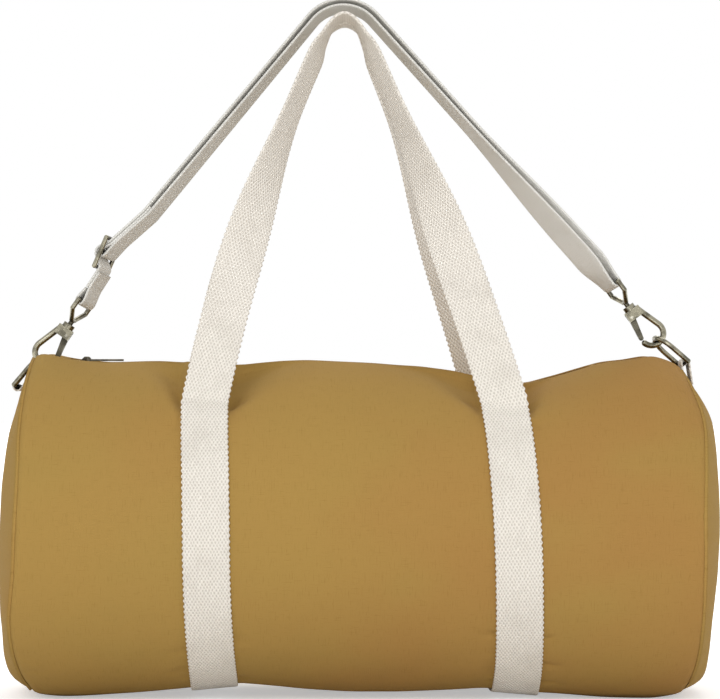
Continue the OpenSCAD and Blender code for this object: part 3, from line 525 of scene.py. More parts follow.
# Lines along the barrel, with one on each end of the mouth
lines = np.unique(np.round(np.concatenate([
    np.arange(-250, 250.1, 2.2), [-MOUTH_X, MOUTH_X, -SEAM_X, SEAM_X, 1.4 - SEAM_X, SEAM_X - 1.4]]), 3))
lines = lines[np.append(True, np.diff(lines) > 0.7)]
for exact in (-MOUTH_X, MOUTH_X):
    lines[np.argmin(np.abs(lines - exact))] = exact
lines[0], lines[-1] = -SEAM_X, SEAM_X


def shell(xs, inset=0.0):
    """Canvas points for nominal places along the barrel, drawn to the slanting seams at both ends."""
    x, a, y = np.broadcast_arrays(np.asarray(xs, float)[:, None], ANGLES, STRIP)
    z = canvas(x, a, y)[..., 2]
    pull = smooth((np.abs(x) - 165) / 89)
    x = x + pull * np.where(x < 0, SEAM[-1](z) + SEAM_X, SEAM[1](z) - SEAM_X)
    return canvas(x, a, y, inset)


body_points = shell(lines)
# the panel's edges turn in at both seams
rims = []
for side, row, beside in ((-1, 0, 1), (1, -1, -2)):
    ring = body_points[row].copy()
    inward = unit(np.stack([np.zeros(len(ring)), -ring[:, 1], AXIS_Z - ring[:, 2]], 1))
    body_points[beside] = body_points[beside] + inward * 0.45
    body_points[row] = ring + inward * 1.5 - side * vec(0.3, 0, 0)
    rims.append((ring + inward * 4.2)[None])
body_points = np.concatenate([rims[0], body_points, rims[1]])
xs_uv = np.concatenate([[lines[0] - 2], lines, [lines[-1] + 2]])
uv = np.stack(np.broadcast_arrays(xs_uv[:, None], ARC[None]), -1)
# the mouth is left open
keep = np.ones((len(xs_uv) - 1, len(ANGLES)), bool)
mid = (xs_uv[:-1] + xs_uv[1:]) / 2
keep[np.ix_(np.abs(mid) < MOUTH_X, np.arange(len(round_angles) - 1, len(ANGLES)))] = False
barrel = make("canvas_barrel", *grid(body_points, uv, close_v=True, keep=keep), CANVAS, "bag", ["barrel_panel"],
              "canvas")
# the faces that turn in at both seams take the darker canvas, as painted shade in the groove
barrel.data.materials.append(SEAM_SHADE)
uv_layer = barrel.data.uv_layers["UVMap"].data
for face in barrel.data.polygons:
    if min(abs(uv_layer[i].uv[0]) for i in face.loop_indices) * 1000 > SEAM_X - 0.8:
        face.material_index = 1


def end_cap(side, name):
    """A bulged round end panel, sewn in a rolled seam."""
    ring = shell([side * SEAM_X])[0]
    zc = 122.0
    zs = np.linspace(ring[:, 2].min(), ring[:, 2].max(), 160)
    widths = np.array([np.abs(ring[np.abs(ring[:, 2] - z) < 3.5, 1]).max() for z in zs])
    shares = np.concatenate([[1.0, 0.99, 0.9955, 0.994, 0.986, 0.972], np.linspace(0.955, 0.02, 44)])
    rows = []
    for k, rho in enumerate(shares):
        y, z = ring[:, 1] * rho, zc + (ring[:, 2] - zc) * rho
        w = np.interp(z, zs, widths)
        seam = SEAM[side](z)
        dome = (1 - np.clip(np.abs(y) / w, 0, 1) ** 2) ** 0.9
        depth = np.maximum(side * (END[side](z) - seam), 0.5)
        roll = 0.5 + 1.5 * min(1, (1 - rho) * 44) * math.exp(-(1 - rho) * 9)
        x = seam + side * depth * dome * (1 - rho ** 34) + side * roll
        angle = np.degrees(np.arctan2(ring[:, 2] - zc, -ring[:, 1]))
        ripple = sum(amp * np.sin(np.radians(angle) * f + ph) for amp, f, ph in
                     ((0.5, 11, 1.0), (0.35, 17, 2.2), (0.3, 29, 0.4)))
        x = x + side * ripple * rho ** 5 * (1 - rho ** 10) * 2.2
        x = x + side * 0.8 * value_noise(y, z, 90, 11) * (1 - rho ** 6)
        if k < 3:
            # the roll itself: how far it is drawn in, and how far out it stands
            drawn, proud = ((0.032, 0.2), (0.006, 1.0), (0.0, 1.9))[k]
            y, z = y - ring[:, 1] * drawn, z - (ring[:, 2] - zc) * drawn
            x = seam + side * proud
        rows.append(np.stack([x, y, z], 1))
    points = np.array(rows)
    uv = np.concatenate([points, points[:, :1]], 1)[..., [1, 2]]
    if side > 0:
        points, uv = points[:, ::-1], uv[:, ::-1]
    verts, faces, uvs = grid(points, uv, close_v=True)
    n = points.shape[1]
    last = (len(points) - 1) * n
    verts = np.concatenate([verts, points[-1].mean(0)[None]])
    fan = [[last + k, len(verts) - 1, last + (k + 1) % n] for k in range(n)]
    fan_uv = np.array([verts[i][[1, 2]] for f in fan for i in f])
    piece = make("canvas_end_" + name, verts, faces + fan, np.concatenate([uvs, fan_uv]), CANVAS, "bag",
                 ["end_panel_" + name], "canvas")
    # the three rows of the rolled seam take the darker canvas, as painted shade in the groove
    piece.data.materials.append(SEAM_SHADE)
    for face in piece.data.polygons:
        if max(face.vertices) < 3 * n:
            face.material_index = 1
    return piece


SIDES = ((-1, "left"), (1, "right"))
for piece in [barrel] + [end_cap(*side) for side in SIDES]:
    skin = piece.modifiers.new("thickness", "SOLIDIFY")
    skin.thickness, skin.offset = CANVAS_T * MM, -1

for side, name in SIDES:
    # the tape that binds an end seam inside
    loops = []
    for dx, inset in ((2, 0.3), (10, 0.3), (10, 1.3), (2, 1.3)):
        ring = shell([side * SEAM_X], inset)[0]
        ring[:, 0] -= side * dx
        loops.append(ring)
    points = np.array(loops)
    uv = np.stack(np.broadcast_arrays(ARC, vec(0, 8, 9, 17, 18)[:, None]), -1)
    if side < 0:
        points = points[::-1]
    woven = grid(points, uv, close_u=True, close_v=True)
    make("binding_" + name, *woven, BINDING, "bag", ["seam_binding_" + name], "zip_tape")

# ---- the zip strip ----
FLAP_X0, FLAP_X1 = -182.7, 182.5
ZIP_Z, STITCH_Y = 256.0, 9.5
zip_dip = table([(x, min(ZIP_Z, float(top_edge(x)) - 1.5)) for x in np.linspace(-250, 250, 120)], 6)


def zip_line(x):
    """Height of the zip's middle: it follows the sag of the top, but not at the right end, where the slider stops."""
    return mix(zip_dip(x), ZIP_Z, smooth((x - 174) / 8))


def strip_z(x, y):
    """Height of the top face of the strip that holds the zip."""
    t = smooth((MOUTH_Y - np.abs(y)) / (MOUTH_Y - 5.5))
    ridge = canvas(x, np.full_like(x, A0))[..., 2]
    return mix(ridge, zip_line(x), t)


def strip_piece(face, x0, x1, profile):
    """An extruded strip on one side of the zip. Its profile is (distance from the middle, drop), anticlockwise."""
    xs = np.linspace(x0, x1, max(3, int((x1 - x0) / 3.0)))
    loop = np.array(profile, float)
    yy = face * loop[:, 0]
    drop = np.stack([strip_z(xs, np.full(len(xs), y)) for y in yy], 1) + loop[None, :, 1]
    points = np.stack(np.broadcast_arrays(xs[:, None], yy[None], drop), -1)
    around = lengths(np.vstack([loop, loop[:1]]))
    uv = np.stack(np.broadcast_arrays(xs[:, None], around[None]), -1)
    if face > 0:
        points, uv = points[:, ::-1], uv[:, ::-1]
    verts, faces, uvs = grid(points, uv, close_v=True)
    n = len(loop)
    for f in (list(range(n)), [(len(xs) - 1) * n + k for k in range(n)][::-1]):
        faces.append(f)
        uvs = np.concatenate([uvs, [[verts[i][1], verts[i][2]] for i in f]])
    return verts, faces, uvs


def facing_profile(outer):
    """Section of the canvas beside the zip, folded at its inner edge."""
    return [(outer, 0), (22, 0.05), (14, 0.1), (9, 0.35), (6.6, 0.45), (5.7, 0.1), (5.5, -0.6), (5.8, -1.3), (7, -1.5),
            (14, -1.4), (22, -1.4), (outer, -1.4)]


TAPE_PROFILE = [(16, -1.5), (9, -1.5), (3.4, -1.5), (3.2, -1.9), (3.4, -2.4), (9, -2.4), (16, -2.4)]


def teeth(face, x0, x1, open_to=-999.0):
    """Rows of small moulded teeth, each with a rounded head that meets the other side's, but not before open_to."""
    pitch, parts = 2.4, []
    xs = np.arange(x0 + pitch * (0.25 if face < 0 else 0.75), x1 - 0.5, pitch)
    for x in xs:
        back = 1.3 if x < open_to else 0.0
        shape = [(3.3, 0.72), (1.3 + back, 0.72), (0.3 + back, 0.95), (back - 0.3, 0.9), (back - 0.62, 0.55)]
        z = float(strip_z(np.array([x]), np.array([face * 5.5]))[0]) - 1.95
        outline = [(x + w * 0.62, face * y) for y, w in shape] + [(x - w * 0.62, face * y) for y, w in shape[::-1]]
        n, cy, verts = len(outline), face * 1.3, []
        for dz, inset in ((-1.0, 0.12), (-0.7, 0.0), (0.75, 0.0), (1.0, 0.16)):
            verts += [(x + (ox - x) * (1 - inset), cy + (oy - cy) * (1 - inset * 0.5), z + dz) for ox, oy in outline]
        quads = [[r * n + k, r * n + (k + 1) % n, (r + 1) * n + (k + 1) % n, (r + 1) * n + k]
                 for r in range(3) for k in range(n)]
        quads += [list(range(n))[::-1], [3 * n + k for k in range(n)]]
        if face > 0:
            quads = [q[::-1] for q in quads]
        parts.append((verts, quads, [(verts[i][0], verts[i][1]) for q in quads for i in q]))
    return join(parts)


THREAD_R, STITCH_LEN, STITCH_GAP = 0.28, 2.2, 0.9


def stitches(points):
    """A row of sewn stitches along a path, each a short thread that dips into the cloth at both ends."""
    n = vec(0, 0, 1)
    s = lengths(points)
    parts, start = [], 0.4
    while start + STITCH_LEN < s[-1]:
        t = start + np.linspace(0, STITCH_LEN, 6)
        p = at_lengths(t, s, points)
        lift = np.sin(np.linspace(0.08, 0.92, 6) * math.pi) * 0.42 - 0.16
        p = p + n * lift[:, None]
        a = np.cross(unit(np.gradient(p, axis=0)), n)
        turns = [k * math.pi / 3 for k in range(6)]
        rows = np.stack([p + (np.cos(k) * a * THREAD_R + np.sin(k) * n * THREAD_R * 0.85) for k in turns], 1)
        uv = np.stack(np.broadcast_arrays(t[:, None], np.arange(7)[None] * 0.3), -1)
        v, f, u = grid(rows, uv, close_v=True)
        f += [[5, 4, 3, 2, 1, 0], [30, 31, 32, 33, 34, 35]]
        parts.append((v, f, np.concatenate([u, np.zeros((12, 2))])))
        start += STITCH_LEN + STITCH_GAP
    return join(parts)


def zip_stitches(face, x0, x1):
    """The row of stitches that holds the zip's tape, on one side of it."""
    xs = np.arange(x0 + 2, x1, 1.5)
    y = np.full(len(xs), face * STITCH_Y)
    return stitches(np.stack([xs, y, strip_z(xs, y) + 0.3], 1))


def each_side(build, *args):
    """What is built on the two sides of the zip, as one."""
    return join([build(face, *args) for face in (-1, 1)])


for face, name in ((-1, "front"), (1, "back")):
    body = "mouth_" + name
    flap = make("facing_" + name, *strip_piece(face, FLAP_X0, FLAP_X1, facing_profile(MOUTH_Y - 0.2)), CANVAS, None,
                ["mouth_facing_" + name], "canvas")
    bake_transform(flap)
    chain = ["zip_chain_" + name]
    make("zip_tape_" + name, *strip_piece(face, FLAP_X0, FLAP_X1, TAPE_PROFILE), TAPE, body, chain, "zip_tape")
    make("zip_teeth_" + name, *teeth(face, FLAP_X0, FLAP_X1), TEETH, body, chain, "zip_tape")
    make("zip_stitch_" + name, *zip_stitches(face, FLAP_X0, FLAP_X1 - 2), THREAD_OCHRE, body, slot="canvas")
# the fixed ends: where the strip and its teeth run, and where the teeth start to meet
for name, x0, x1, t0, t1, open_to in (("left", -MOUTH_X, -184.2, -227.0, -184.2, -999.0),
                                      ("right", 184.0, MOUTH_X, 184.0, 205.5, 193.0)):
    chain = ["zip_chain_" + name]
    facing = each_side(strip_piece, x0, x1, facing_profile(MOUTH_Y))
    make("facing_" + name, *facing, CANVAS, "bag", ["zip_facing_" + name], "canvas")
    make("zip_tape_" + name, *each_side(strip_piece, x0, x1, TAPE_PROFILE), TAPE, "bag", chain, "zip_tape")
    make("zip_teeth_" + name, *each_side(teeth, t0, t1, open_to), TEETH, "bag", chain, "zip_tape")
    make("zip_stitch_" + name, *each_side(zip_stitches, x0, x1 - 1), THREAD_OCHRE, "bag", slot="canvas")

# ---- the bands and handles: one run of webbing on each face, from under the bag, over the apex and down ----
# Where the roots stand on the section, the height over them, the half width of the arch and the place of its apex
ROOT_ANGLE, HANDLE_H, ARCH_R, APEX_X = 46.8, 298.0, 13.0, -12.0
ROOT_R = R + WEB_T * 1.5 + 0.3
ROOT_Y, ROOT_Z = ROOT_R * math.cos(math.radians(ROOT_ANGLE)), AXIS_Z + ROOT_R * math.sin(math.radians(ROOT_ANGLE))
SPRING_Z = ROOT_Z + HANDLE_H - ARCH_R * 0.76
ARCH_Y = WEB_W / 2 + 0.5
TURN_TOP = 71.0  # degrees by which a leg stands on edge before its last stretch


def leg(side, face, share):
    """A handle's leg, from its root (0) to its arch (1): its middle, and its direction across, which turns on edge."""
    reach0 = side * (band_x(side, face * ROOT_Y, ROOT_Z) - APEX_X)
    bow = 0.42 if side < 0 else 0.2
    s = 1 - share
    reach = ARCH_R + (reach0 - ARCH_R) * (s + bow * s * share)
    turn = TURN_TOP * smooth((share - 0.22) / 0.6) + (90 - TURN_TOP) * smooth((share - 0.93) / 0.07)
    turn, tilt = np.radians(turn), math.radians(5 if face < 0 else 0)
    return (vec(APEX_X + side * reach, face * mix(ROOT_Y, ARCH_Y, share), mix(ROOT_Z, SPRING_Z, share)),
            vec(side * math.cos(turn), face * math.sin(turn) * math.cos(tilt), math.sin(turn) * math.sin(tilt)))


def arch(face):
    """The top of a handle, a parabola that goes on from both legs: the share where a leg ends, and the points."""
    rise = ARCH_R * (0.76 if face < 0 else 0.58) + 1.2
    ends = {}
    for side in (-1, 1):
        top, low = leg(side, face, 1.0)[0], leg(side, face, 0.97)[0]
        slope = abs(top[0] - low[0]) / (top[2] - low[2])
        ends[side] = 1 - max(ARCH_R / slope - 2 * rise, 2.0) / (SPRING_Z - ROOT_Z)
    share = (ends[-1] + ends[1]) / 2
    left, right = leg(-1, face, share), leg(1, face, share)
    out = []
    for t in np.linspace(-1, 1, 41)[1:-1]:
        (x, y, z), lean = left if t < 0 else right
        point = vec(mix(APEX_X, x, abs(t)), mix(face * ARCH_Y, y, t * t), mix(SPRING_Z + rise, z, t * t))
        across = mix(vec(0, lean[1], lean[2]), lean, smooth((abs(t) - 0.3) / 0.7))
        out.append((point, across))
    return share, out


def band(side, face):
    """Middle line of a band on the canvas and its direction across, from under the bag to its root."""
    angles = np.linspace(-90, ROOT_ANGLE, 240)
    sy, sz = section(angles)
    mid_x = band_x(side, face * -sy, sz)
    offs = np.linspace(-WEB_W / 2, WEB_W / 2, 7)
    a = np.where(face < 0, angles, 180 - angles)
    skin = canvas(mid_x[:, None] + offs[None], np.repeat(a[:, None], 7, 1))
    middle = skin.mean(1)
    across = unit(skin[:, -1] - skin[:, 0])
    out = unit(np.stack([0 * mid_x, middle[:, 1], middle[:, 2] - AXIS_Z], 1))
    down = smooth((angles + 90) / 20)[:, None]
    out = unit(mix(vec(0, 0, -1), out, down))
    rise = (((skin - middle[:, None]) - across[:, None] * offs[None, :, None]) * out[:, None]).sum(-1).max(1)
    lift = WEB_T / 2 + CANVAS_T + 0.1 + np.clip(rise, 0, 3) * 0.7 + 0.8 * smooth((angles - ROOT_ANGLE + 9) / 9)
    return [(p + o * l, side * v) for p, o, l, v in zip(middle, out, lift, across)]


def webbing(face):
    """The whole run of one face's webbing."""
    left, right = band(-1, face), band(1, face)
    share, top = arch(face)
    steps = np.linspace(0, share, 150)
    path = left + [leg(-1, face, s) for s in steps] + top
    path += [leg(1, face, s) for s in steps[::-1]] + right[::-1]
    centre, across = map(np.array, zip(*path))
    # the across direction keeps one sense along the whole run
    for k in range(1, len(across)):
        if across[k] @ across[k - 1] < 0:
            across[k] = -across[k]
    moved = np.append(True, np.linalg.norm(np.diff(centre, axis=0), axis=1) > 0.02)
    centre, across = resample(centre[moved], across[moved], 0.7)
    return soften(centre, 36), soften(across, 60)


for face, name in ((-1, "front"), (1, "back")):
    woven = ribbon(*webbing(face), WEB_W, WEB_T, scallop=0.5, n_across=10, pitch=4.5)
    piece = make("webbing_" + name, *woven, WEBBING, None, ["handle_" + name, "band_left", "band_right"],
                 "handle_webbing")
    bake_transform(piece)

# ---- D-ring tabs, and where the rings and hooks stand ----
# The rings' lean above +x, the hooks' lean from upright and the middles of the rings' bars, by side
RING_R = 2.0
LEAN = {1: 139.0, -1: 50.0}
HOOK_ANGLE = {1: 36.3, -1: 34.8}
BAR = {1: vec(253.1, 0, 256.6), -1: vec(-266.5, 0, 238.6)}
# The turn of the strap about its own run, at the eyes and at the apex
EYE_ROLL, ROLL_APEX = 18.0, 10.0
STRAP_W, STRAP_T, STRAND_GAP = 25.0, 2.0, 1.0


def side_down(side, angle):
    """Down a hook or a strap that leans out by an angle; side_out is square to it."""
    a = math.radians(angle)
    return vec(side * math.sin(a), 0, -math.cos(a))


def side_out(side, angle):
    a = math.radians(angle)
    return vec(side * math.cos(a), 0, math.sin(a))


# From a ring's bar, where the eye of its hook stands
SEAT_U = 48.8 + 9.2 - 2.4 - RING_R - 0.3
EYE = {s: BAR[s] + 30 * at(LEAN[s]) - SEAT_U * side_down(s, HOOK_ANGLE[s]) - 2.3 * side_out(s, HOOK_ANGLE[s])
       for s in (-1, 1)}

for side, name in SIDES:
    # a loop of webbing round the ring's bar, with both its ends sewn flat to the canvas
    bar, r, length = BAR[side], RING_R + 0.2 + 0.75, 17.0
    end_dir = unit(vec(0.62, 0, 0.78) if side < 0 else vec(0.15, 0, -1))
    # the wrap goes round the side of the bar that the ring's legs leave
    base = math.degrees(math.atan2(end_dir[2], end_dir[0]))
    wrap = [bar + r * at(base + 90 + k) for k in np.linspace(0, 180, 19)]
    path = [wrap[0] + end_dir * length * t for t in np.linspace(1, 0, 10)[:-1]] + wrap
    path = np.array(path + [wrap[-1] + end_dir * length * t for t in np.linspace(0, 1, 10)[1:]])
    centre, across = resample(path, np.tile(vec(0, 1, 0), (len(path), 1)), 0.6)
    woven = ribbon(centre, across, 25.0, 1.4, scallop=0.15, pitch=1.7)
    make("tab_" + name, *woven, WEBBING, "bag", ["ring_tab_" + name], "handle_webbing")

# ---- the shoulder strap ----
BEND_R, STRAP_LIFT = 31.0, 8.3
APEX_Y, EYE_R = 2.0, 1.9
EYE_LOOP_R = EYE_R + 0.2 + STRAP_T / 2
STRAND_OFF = (STRAP_T + STRAND_GAP) / 2
BEND_C = vec(APEX_X - 1, 0, ROOT_Z + HANDLE_H + STRAP_LIFT + WEB_T - BEND_R)
KNEE = EYE[-1] - 44.0 * side_down(-1, HOOK_ANGLE[-1])


def bend_angle(side, target):
    """Where the strap leaves the bend over the apex on its way to a point."""
    d = target - BEND_C
    lead = side * math.degrees(math.acos(BEND_R / math.hypot(d[0], d[2])))
    return math.degrees(math.atan2(d[2], d[0])) + lead + (360 if side < 0 else 0)


ANGLE_L, ANGLE_R = bend_angle(-1, KNEE), bend_angle(1, EYE[1])
OUT_L, OUT_R = at(ANGLE_L), at(ANGLE_R)
DOWN_L, DOWN_R = vec(-OUT_L[2], 0, OUT_L[0]), vec(OUT_R[2], 0, -OUT_R[0])
BEND_L, BEND_RT = BEND_C + BEND_R * OUT_L, BEND_C + BEND_R * OUT_R
RUN_R = np.linalg.norm(EYE[1] - BEND_RT)
RUN_L = np.linalg.norm(KNEE - BEND_L) + 3.6
ADJ_ANGLE, ADJ_R, ADJ_PITCH = 23.2, 1.8, 12.0
ADJ = KNEE + 3.6 * DOWN_L + 7.0 * OUT_L
FIXED_X = RUN_L - 50 - 150 - 5
FOLD_OFF = -STRAND_OFF + STRAP_T + 0.1
OVER_OFF = FOLD_OFF + STRAP_T + 0.3
BLEND_X, FOLD_TOP_X = RUN_L - 45, RUN_L - 50


def across_dir(out, roll):
    """The direction across a strap that is turned by its roll; outward is square to it."""
    return math.cos(math.radians(roll)) * vec(0, 1, 0) - math.sin(math.radians(roll)) * out


def outward(out, roll):
    return math.cos(math.radians(roll)) * out + math.sin(math.radians(roll)) * vec(0, 1, 0)


# Each mid_ function gives a middle point of the doubled strap, its outward direction and its roll
def mid_left(x):
    return BEND_L + x * DOWN_L + vec(0, APEX_Y * (1 - x / RUN_L), 0), OUT_L, mix(ROLL_APEX, EYE_ROLL, x / RUN_L)


def mid_bend(angle):
    return BEND_C + BEND_R * at(angle) + vec(0, APEX_Y, 0), at(angle), ROLL_APEX


def loose(x):
    """Share of the loose turn that the two strands take between the apex and the right eye."""
    return smooth((x / RUN_R - 0.38) / 0.46) * (1 - smooth((x / RUN_R - 0.9) / 0.1))


def mid_right(x):
    s = max(0, (x - RUN_R + 40) / 40)
    return (BEND_RT + x * DOWN_R + vec(0, APEX_Y * (1 - x / RUN_R), 0),
            unit(mix(OUT_R, side_out(1, HOOK_ANGLE[1]), s)),
            mix(ROLL_APEX, EYE_ROLL, x / RUN_R) + 22 * loose(x))


def strand(place, off):
    """One strand of the doubled strap, off its middle."""
    middle, out, roll = place
    return middle + off * outward(out, roll), across_dir(out, roll)


def eye_wrap(side):
    """Half a turn round the eye of a hook."""
    out, down = side_out(side, HOOK_ANGLE[side]), side_down(side, HOOK_ANGLE[side])
    n = outward(out, EYE_ROLL)
    return [(EYE[side] + EYE_LOOP_R * (math.cos(a) * n + math.sin(a) * down), across_dir(out, EYE_ROLL))
            for a in np.radians(np.linspace(0, 180, 17))]


def right_off(x):
    return mix(STRAND_OFF, EYE_LOOP_R, smooth((x - RUN_R + 40) / 40)) + 2.0 * loose(x)


SLACK = 1.7  # how loose the outer strand lies over the apex


def strap_path():
    xs = np.linspace(4, RUN_R - 2, 60)
    bend = np.linspace(ANGLE_L, ANGLE_R, 40)
    left = np.linspace(FIXED_X, 0, 8)[:-1]
    path = [strand(mid_left(x), mix(STRAND_OFF + SLACK, OVER_OFF, x / FIXED_X)) for x in left]
    path += [strand(mid_bend(a), STRAND_OFF + SLACK) for a in bend]
    path += [strand(mid_right(x), right_off(x) + SLACK * (1 - smooth(x / (RUN_R - 40)))) for x in xs]
    path += eye_wrap(1)
    path += [strand(mid_right(x), -right_off(x)) for x in xs[::-1]]
    path += [strand(mid_bend(a), -STRAND_OFF) for a in bend[::-1]]
    path += [strand(mid_left(x), -STRAND_OFF) for x in left[::-1]]
    return path


ADJ_DOWN, ADJ_OUT = side_down(-1, ADJ_ANGLE), outward(side_out(-1, ADJ_ANGLE), EYE_ROLL)
ADJ_ACROSS = across_dir(side_out(-1, ADJ_ANGLE), EYE_ROLL)


def near_adjuster(p, q):
    """A place by the adjuster, p down it and q out of it, and the direction across."""
    return ADJ + p * ADJ_DOWN + q * ADJ_OUT, ADJ_ACROSS


def adjuster_arc(p, r, a0, a1, steps):
    """Part of a turn round the bar at p."""
    return [near_adjuster(p + r * math.cos(a), r * math.sin(a)) for a in np.radians(np.linspace(a0, a1, steps))]


UNDER_R = ADJ_R + 0.3 + STRAP_T / 2
FOLD_BAR_R = ADJ_R + 0.2 + STRAP_T / 2
OVER_R = FOLD_BAR_R + STRAP_T + 0.3
CROSS = math.degrees(math.asin((UNDER_R + OVER_R) / ADJ_PITCH))
SLOPE = ANGLE_L - 90 - ADJ_ANGLE
TAIL_GAP = STRAP_T / 2 + 0.05
EYE_P, EYE_Q = (EYE[-1] - ADJ) @ ADJ_DOWN, (EYE[-1] - ADJ) @ ADJ_OUT
TAIL_R = UNDER_R + TAIL_GAP
TAIL_ANGLE = math.degrees(
    math.atan2(EYE_Q, EYE_P - ADJ_PITCH) + math.asin(TAIL_R / math.hypot(EYE_Q, EYE_P - ADJ_PITCH)))
TAIL_COS, TAIL_SIN = math.cos(math.radians(TAIL_ANGLE)), math.sin(math.radians(TAIL_ANGLE))
TAIL_TOP = (ADJ_PITCH + TAIL_R * TAIL_SIN + 2.5 * TAIL_COS, -TAIL_R * TAIL_COS + 2.5 * TAIL_SIN)
TAIL_RUN = math.hypot(EYE_P - TAIL_TOP[0], EYE_Q - TAIL_TOP[1])
TAIL_SPLIT = 0.55  # how far down the tail the piece over the adjuster reaches


def tail_layer(face, share):
    """One of the two layers between the adjuster and the left eye."""
    top = near_adjuster(*TAIL_TOP)
    out = mix(ADJ_OUT, outward(side_out(-1, HOOK_ANGLE[-1]), EYE_ROLL), share)
    off = mix(TAIL_GAP, EYE_LOOP_R, smooth((share * TAIL_RUN - TAIL_RUN + 14) / 14))
    return (mix(top[0], EYE[-1], share) + face * off * unit(out),
            unit(mix(ADJ_ACROSS, across_dir(side_out(-1, HOOK_ANGLE[-1]), EYE_ROLL), share)))


def tail_path():
    s = np.linspace(0, 1, 25)[:-1]
    return ([tail_layer(1, x) for x in s if x > TAIL_SPLIT] + eye_wrap(-1)
            + [tail_layer(-1, x) for x in s[::-1]])


def over_path():
    path = [strand(mid_left(x), OVER_OFF) for x in np.linspace(FIXED_X, BLEND_X, 40)]
    path += adjuster_arc(-ADJ_PITCH, UNDER_R, -90 + SLOPE, -90 + CROSS, 5)
    path += adjuster_arc(0, OVER_R, 90 + CROSS, 90 - CROSS, 11)
    path += adjuster_arc(ADJ_PITCH, UNDER_R, -90 - CROSS, -90 + TAIL_ANGLE, 6)
    return path + [tail_layer(1, x) for x in np.linspace(0, TAIL_SPLIT, 12)]


def fold_path():
    path = [strand(mid_left(FOLD_TOP_X), -STRAND_OFF), strand(mid_left(BLEND_X), -STRAND_OFF)]
    path += [near_adjuster(-ADJ_PITCH, -UNDER_R - 2 * STRAP_T - 0.6)]
    path += adjuster_arc(0, FOLD_BAR_R, -90 + SLOPE, 90 + CROSS, 15)
    path += adjuster_arc(-ADJ_PITCH, UNDER_R + STRAP_T + 0.3, -90 + CROSS, -90 + SLOPE, 4)
    return path + [strand(mid_left(BLEND_X), FOLD_OFF), strand(mid_left(FOLD_TOP_X), FOLD_OFF)]


def strap_piece(name, path, body, node_name, rounds=4):
    centre, across = resample(*zip(*path), 0.8)
    woven = ribbon(soften(centre, rounds), across, STRAP_W, STRAP_T - 0.1, scallop=0.12, pitch=2.6)
    return make(name, *woven, STRAP, body, [node_name], "strap_webbing")


strap_piece("strap_long", strap_path(), "strap", "shoulder_strap", 6)
strap_piece("strap_eye_end", tail_path(), "strap", "strap_end_left", 6)
strap_piece("strap_fold", fold_path(), "adjuster", "strap_fold")


def sliding(piece, weight):
    """Bakes a strap piece in place and works out, for each point, a share between the strap and the adjuster; the
    share is not kept.
    """
    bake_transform(piece)
    co = np.array([v.co for v in piece.data.vertices]).reshape(-1, 3) / MM
    along = (co - BEND_L) @ DOWN_L
    weight(along).astype(np.float32)


over = strap_piece("strap_outer", over_path(), None, "strap_over_adjuster")
# where the tail's end holds still, and the lowest bar
LOW_END = (tail_layer(1, TAIL_SPLIT)[0] - BEND_L) @ DOWN_L - 1
LOW_BAR = (near_adjuster(ADJ_PITCH + UNDER_R, 0)[0] - BEND_L) @ DOWN_L
sliding(over, lambda s: (np.clip((s - FIXED_X) / (RUN_L - 22 - FIXED_X), 0, 1)
                         * np.clip((LOW_END - s) / (LOW_END - LOW_BAR), 0, 1)))
under_path = [strand(mid_left(x), -STRAND_OFF) for x in np.linspace(FIXED_X, FOLD_TOP_X, 12)]
under = strap_piece("strap_inner", under_path, None, "strap_under_adjuster", 6)
sliding(under, lambda s: np.clip((s - FIXED_X) / (FOLD_TOP_X - FIXED_X), 0, 1))

# ---- metal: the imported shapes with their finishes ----
for material, names in ((BRASS_ZIP, "zip_stops zip_slider zip_puller"),
                        (BRASS, "strap_adjuster d_ring_left d_ring_right hook_eye_left hook_eye_right "
                                "hook_body_left hook_body_right"),
                        (GATE, "hook_gate_left hook_gate_right"), (PIN, "gate_pin_left gate_pin_right"),
                        (STEEL, "gate_spring_left gate_spring_right")):
    for node_name in names.split():
        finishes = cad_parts[node_name].data.materials
        finishes.clear()
        finishes.append(material)


# ---- floor, backdrop and light ----
def seen_rays(tree):
    """1 for a ray that only looks: from the camera, in a reflection or through glass."""
    path = node(tree, "LightPath")
    seen_by = calc(tree, "MAXIMUM", path.outputs["Is Camera Ray"], path.outputs["Is Glossy Ray"])
    return calc(tree, "MAXIMUM", seen_by, path.outputs["Is Transmission Ray"])


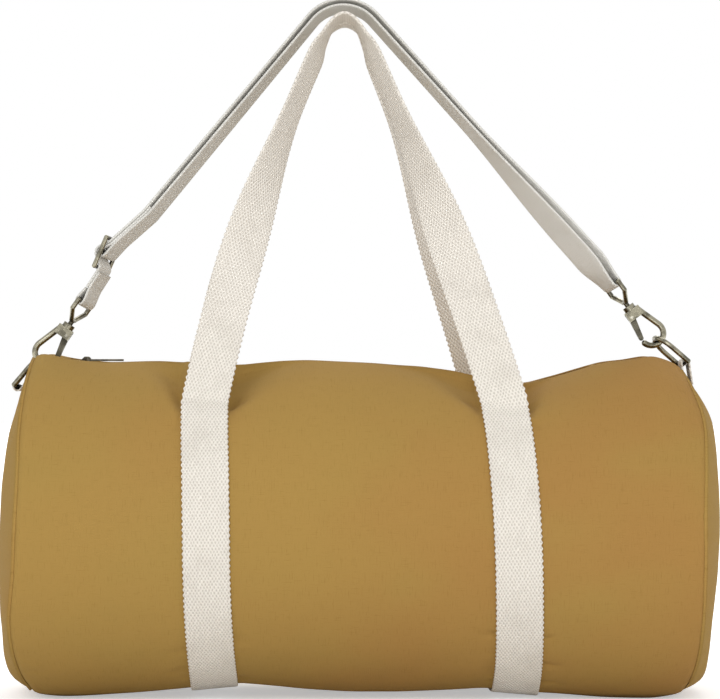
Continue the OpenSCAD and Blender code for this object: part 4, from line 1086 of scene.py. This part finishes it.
def backdrop_material():
    """A pale floor that is seen as white further out, and lights nothing more for it."""
    m, tree = shader("floor")
    grain = noise(tree, node(tree, "TexCoord").outputs["Object"], 3.0, 2)
    colour = blend_colours(tree, grain, (0.92, 0.92, 0.92, 1), (0.95, 0.95, 0.95, 1))
    diffuse = node(tree, "BsdfDiffuse", {"Color": colour})
    away = node(tree, "VectorMath", {0: node(tree, "TexCoord").outputs["Object"]}, operation="LENGTH").outputs["Value"]
    whiter = calc(tree, "MULTIPLY_ADD", ramp(tree, away, 0.35, 1.4), 0.4, 0.42)
    seen_white = times(tree, seen_rays(tree), whiter)
    glow = node(tree, "Emission", {"Color": (1, 1, 1, 1), "Strength": seen_white})
    total = node(tree, "AddShader", {0: diffuse.outputs[0], 1: glow.outputs[0]})
    node(tree, "OutputMaterial", {0: total.outputs[0]})
    return m


FAR = 9000
floor = make("floor", [(x, y, -0.4) for x, y in ((-FAR, -FAR), (FAR, -FAR), (FAR, FAR), (-FAR, FAR))], [[0, 1, 2, 3]],
             None, backdrop_material(), shade=False)

world = bpy.data.worlds.new("studio")
scene.world = world
world.use_nodes = True
tree = world.node_tree
tree.nodes.clear()
sky, white = [node(tree, "Background", {"Color": (1, 1, 1, 1), "Strength": k}).outputs[0] for k in (0.76, 1.0)]
both = node(tree, "MixShader", {0: seen_rays(tree), 1: sky, 2: white})
node(tree, "OutputWorld", {0: both.outputs[0]})


def area_light(name, place, target, size, power, mirrored=True):
    data = bpy.data.lights.new(name, "AREA")
    data.shape, data.size, data.energy = "DISK", size, power
    light = bpy.data.objects.new(name, data)
    light.location = place
    light.rotation_euler = (Vector(target) - Vector(place)).to_track_quat("-Z", "Y").to_euler()
    light.visible_glossy = mirrored
    scene.collection.objects.link(light)


area_light("key", (-1.2, -2.8, 1.9), (0, 0, 0.25), 1.6, 19)
area_light("fill", (1.9, -2.3, 1.0), (0, 0, 0.25), 1.2, 6, mirrored=False)
area_light("low", (0.1, -2.4, 0.06), (0, 0, 0.06), 0.9, 20, mirrored=False)
area_light("back", (0.3, 2.2, 2.4), (0, 0, 0.2), 1.8, 22)

scene.view_settings.view_transform = "Standard"
